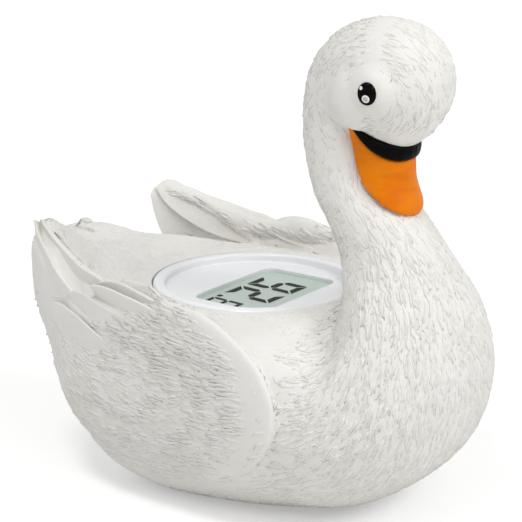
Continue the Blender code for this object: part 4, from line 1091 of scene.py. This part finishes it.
def bar_outline(kind, tall, wide, stroke, cut):
    """Corners of one bar, in the digit's own u (across) and v (up), with slanted ends."""
    half, mid = stroke / 2, tall / 2
    left, right = half, wide - half
    flat = {"a": tall - half, "g": mid, "d": half}
    if kind in flat:
        v = flat[kind]
        if kind == "g":
            return [(left + cut, v), (left + cut + half, v + half), (right - cut - half, v + half),
                    (right - cut, v), (right - cut - half, v - half), (left + cut + half, v - half)]
        out = 1 if kind == "a" else -1
        return [(left + cut - half, v + out * half), (right - cut + half, v + out * half),
                (right - cut - half, v - out * half), (left + cut + half, v - out * half)]
    u, out = (right, 1) if kind in "bc" else (left, -1)
    if kind in "bf":
        low, high = mid + cut, tall - half - cut
        return [(u - out * half, low + half), (u, low), (u + out * half, low + half),
                (u + out * half, high + half), (u - out * half, high - half)]
    low, high = half + cut, mid - cut
    return [(u - out * half, high - half), (u, high), (u + out * half, high - half),
            (u + out * half, low - half), (u - out * half, low + half)]


def bar_piece(name, corners, place):
    """A thin raised bar from its corners, set out on the display."""
    count = len(corners)
    low = [place(u, v, BAR_CLEARS) for u, v in corners]
    high = [place(u, v, BAR_CLEARS + BAR_THICKNESS) for u, v in corners]
    faces = [tuple(range(count)), tuple(range(2 * count - 1, count - 1, -1))]
    faces += [(i, i + count, (i + 1) % count + count, (i + 1) % count) for i in range(count)]
    return edit(mesh_piece(name, low + high, faces), FACE_OUTWARDS)


DIGIT_BASE_X = -6.7 * MM


def digit(figure, left_y, tall, wide, stroke):
    """One figure of the reading, from its left edge."""
    def place(u, v, lift):
        slant = DIGIT_SLANT * v
        return (DIGIT_BASE_X + v + DATUM.x, left_y - u - slant, DISPLAY_TOP + lift)

    bars = [bar_piece("bar", bar_outline(kind, tall, wide, stroke, BAR_CUT * stroke), place)
            for kind in SEGMENTS_OF[figure]]
    return join_pieces(bars, "digit_" + figure)


# Height, width and bar width of the large figures and the small one, and the point's side and place
LARGE_FIGURE, SMALL_FIGURE = (14.2 * MM, 7.6 * MM, 1.85 * MM), (9.7 * MM, 5.0 * MM, 1.05 * MM)
POINT_SIDE, POINT_Y = 1.3 * MM, -8.4 * MM
digits = [digit("9", 10.6 * MM, *LARGE_FIGURE), digit("2", 1.0 * MM, *LARGE_FIGURE),
          digit("6", -10.6 * MM, *SMALL_FIGURE)]
dot = bar_piece("digit_point", [(0, 0), (POINT_SIDE, 0), (POINT_SIDE, POINT_SIDE), (0, POINT_SIDE)],
                lambda u, v, lift: (DIGIT_BASE_X + v + DATUM.x, POINT_Y - u, DISPLAY_TOP + lift))
for piece in digits + [dot]:
    dress(piece, "display", DIGIT)

# Nodes that keep their own shape

for row in frame["record"]["subparts"]:
    piece = frame["nodes"][row["node"]]
    piece.data.materials.clear()
    piece.data.materials.append(FINISH_OF_SLOT[row["material_slot"]])

# Floor, light and camera

CAMERA_TURN, CAMERA_RISE, CAMERA_DISTANCE, CAMERA_LENS = math.radians(36.0), math.radians(16.0), 0.471, 130.0
AIM = Vector((DATUM.x, 0.0, 0.0564))
WORLD_LEVEL = 0.525

# Glow of the floor to the camera alone, near the swan, and what is added from one distance to the next
FLOOR_GLOW, FLOOR_GLOW_GAIN, GLOW_FROM, GLOW_TO = 0.32, 0.20, 0.22, 0.75


def towards(turn, rise):
    """The way from the aim to a place at this turn round it and this rise above the floor."""
    return Vector((math.sin(turn) * math.cos(rise), -math.cos(turn) * math.cos(rise), math.sin(rise)))


def soft_lamp(name, turn, rise, distance, size, power):
    lamp = bpy.data.lights.new(name, "AREA")
    lamp.shape = "DISK"
    lamp.size = size
    lamp.energy = power
    holder = bpy.data.objects.new(name, lamp)
    bpy.context.scene.collection.objects.link(holder)
    way = towards(math.radians(turn), math.radians(rise))
    holder.location = AIM + way * distance
    holder.rotation_euler = way.to_track_quat("Z", "Y").to_euler()


def floor_piece():
    deselect()
    bpy.ops.mesh.primitive_plane_add(size=6.0, location=(0, 0, 0))
    floor = bpy.context.object
    floor.name = "floor"
    finish = Finish("Pale floor", Base_Color=(0.90, 0.90, 0.895), Roughness=0.9, Specular_IOR_Level=0.0)
    seen = finish.node("LightPath").out("Is Camera Ray")
    away = finish.node("VectorMath", {"operation": "LENGTH"}, {0: finish.place}).out("Value")
    glow = FLOOR_GLOW + FLOOR_GLOW_GAIN * finish.ramp(away, GLOW_FROM, GLOW_TO)
    finish.set(Emission_Color=seen * glow, Emission_Strength=1.0)
    floor.data.materials.append(finish.material)


class Surround(Finish):
    """The world's shader, written with the same methods as a material."""

    def __init__(self, world):
        self.tree = world.node_tree


def studio():
    """White all round, weaker as a light than it looks to the camera, in mirrors and through the pane."""
    world = bpy.data.worlds.new("Studio")
    bpy.context.scene.world = world
    world.use_nodes = True
    surround = Surround(world)
    path = surround.node("LightPath")
    shown = path.out("Is Camera Ray")
    for ray in ("Is Glossy Ray", "Is Transmission Ray"):
        shown = shown.math("MAXIMUM", shown, path.out(ray))
    level = surround.node("MapRange", None, {"Value": shown, "To Min": WORLD_LEVEL, "To Max": 1.0}).out(0)
    background = surround.tree.nodes["Background"]
    surround.feed(background.inputs["Color"], (1.0, 1.0, 1.0))
    surround.feed(background.inputs["Strength"], level)


floor_piece()
studio()
soft_lamp("Key lamp", turn=98.0, rise=36.0, distance=0.9, size=0.40, power=2.35)
soft_lamp("Front lamp", turn=62.0, rise=34.0, distance=1.1, size=0.4, power=0.8)
soft_lamp("Top lamp", turn=8.0, rise=64.0, distance=0.9, size=0.22, power=2.2)

lens = bpy.data.cameras.new("Camera")
camera = bpy.data.objects.new("Camera", lens)
bpy.context.scene.collection.objects.link(camera)
camera.location = AIM + towards(CAMERA_TURN, CAMERA_RISE) * CAMERA_DISTANCE
camera.rotation_euler = (math.radians(90) - CAMERA_RISE, 0, CAMERA_TURN)
lens.lens = CAMERA_LENS
lens.sensor_width = 36.0
lens.clip_start = 0.01
bpy.context.scene.camera = camera
bpy.context.scene.view_settings.view_transform = "Standard"

# Bring the scene's placements up to date

bpy.context.view_layer.update()
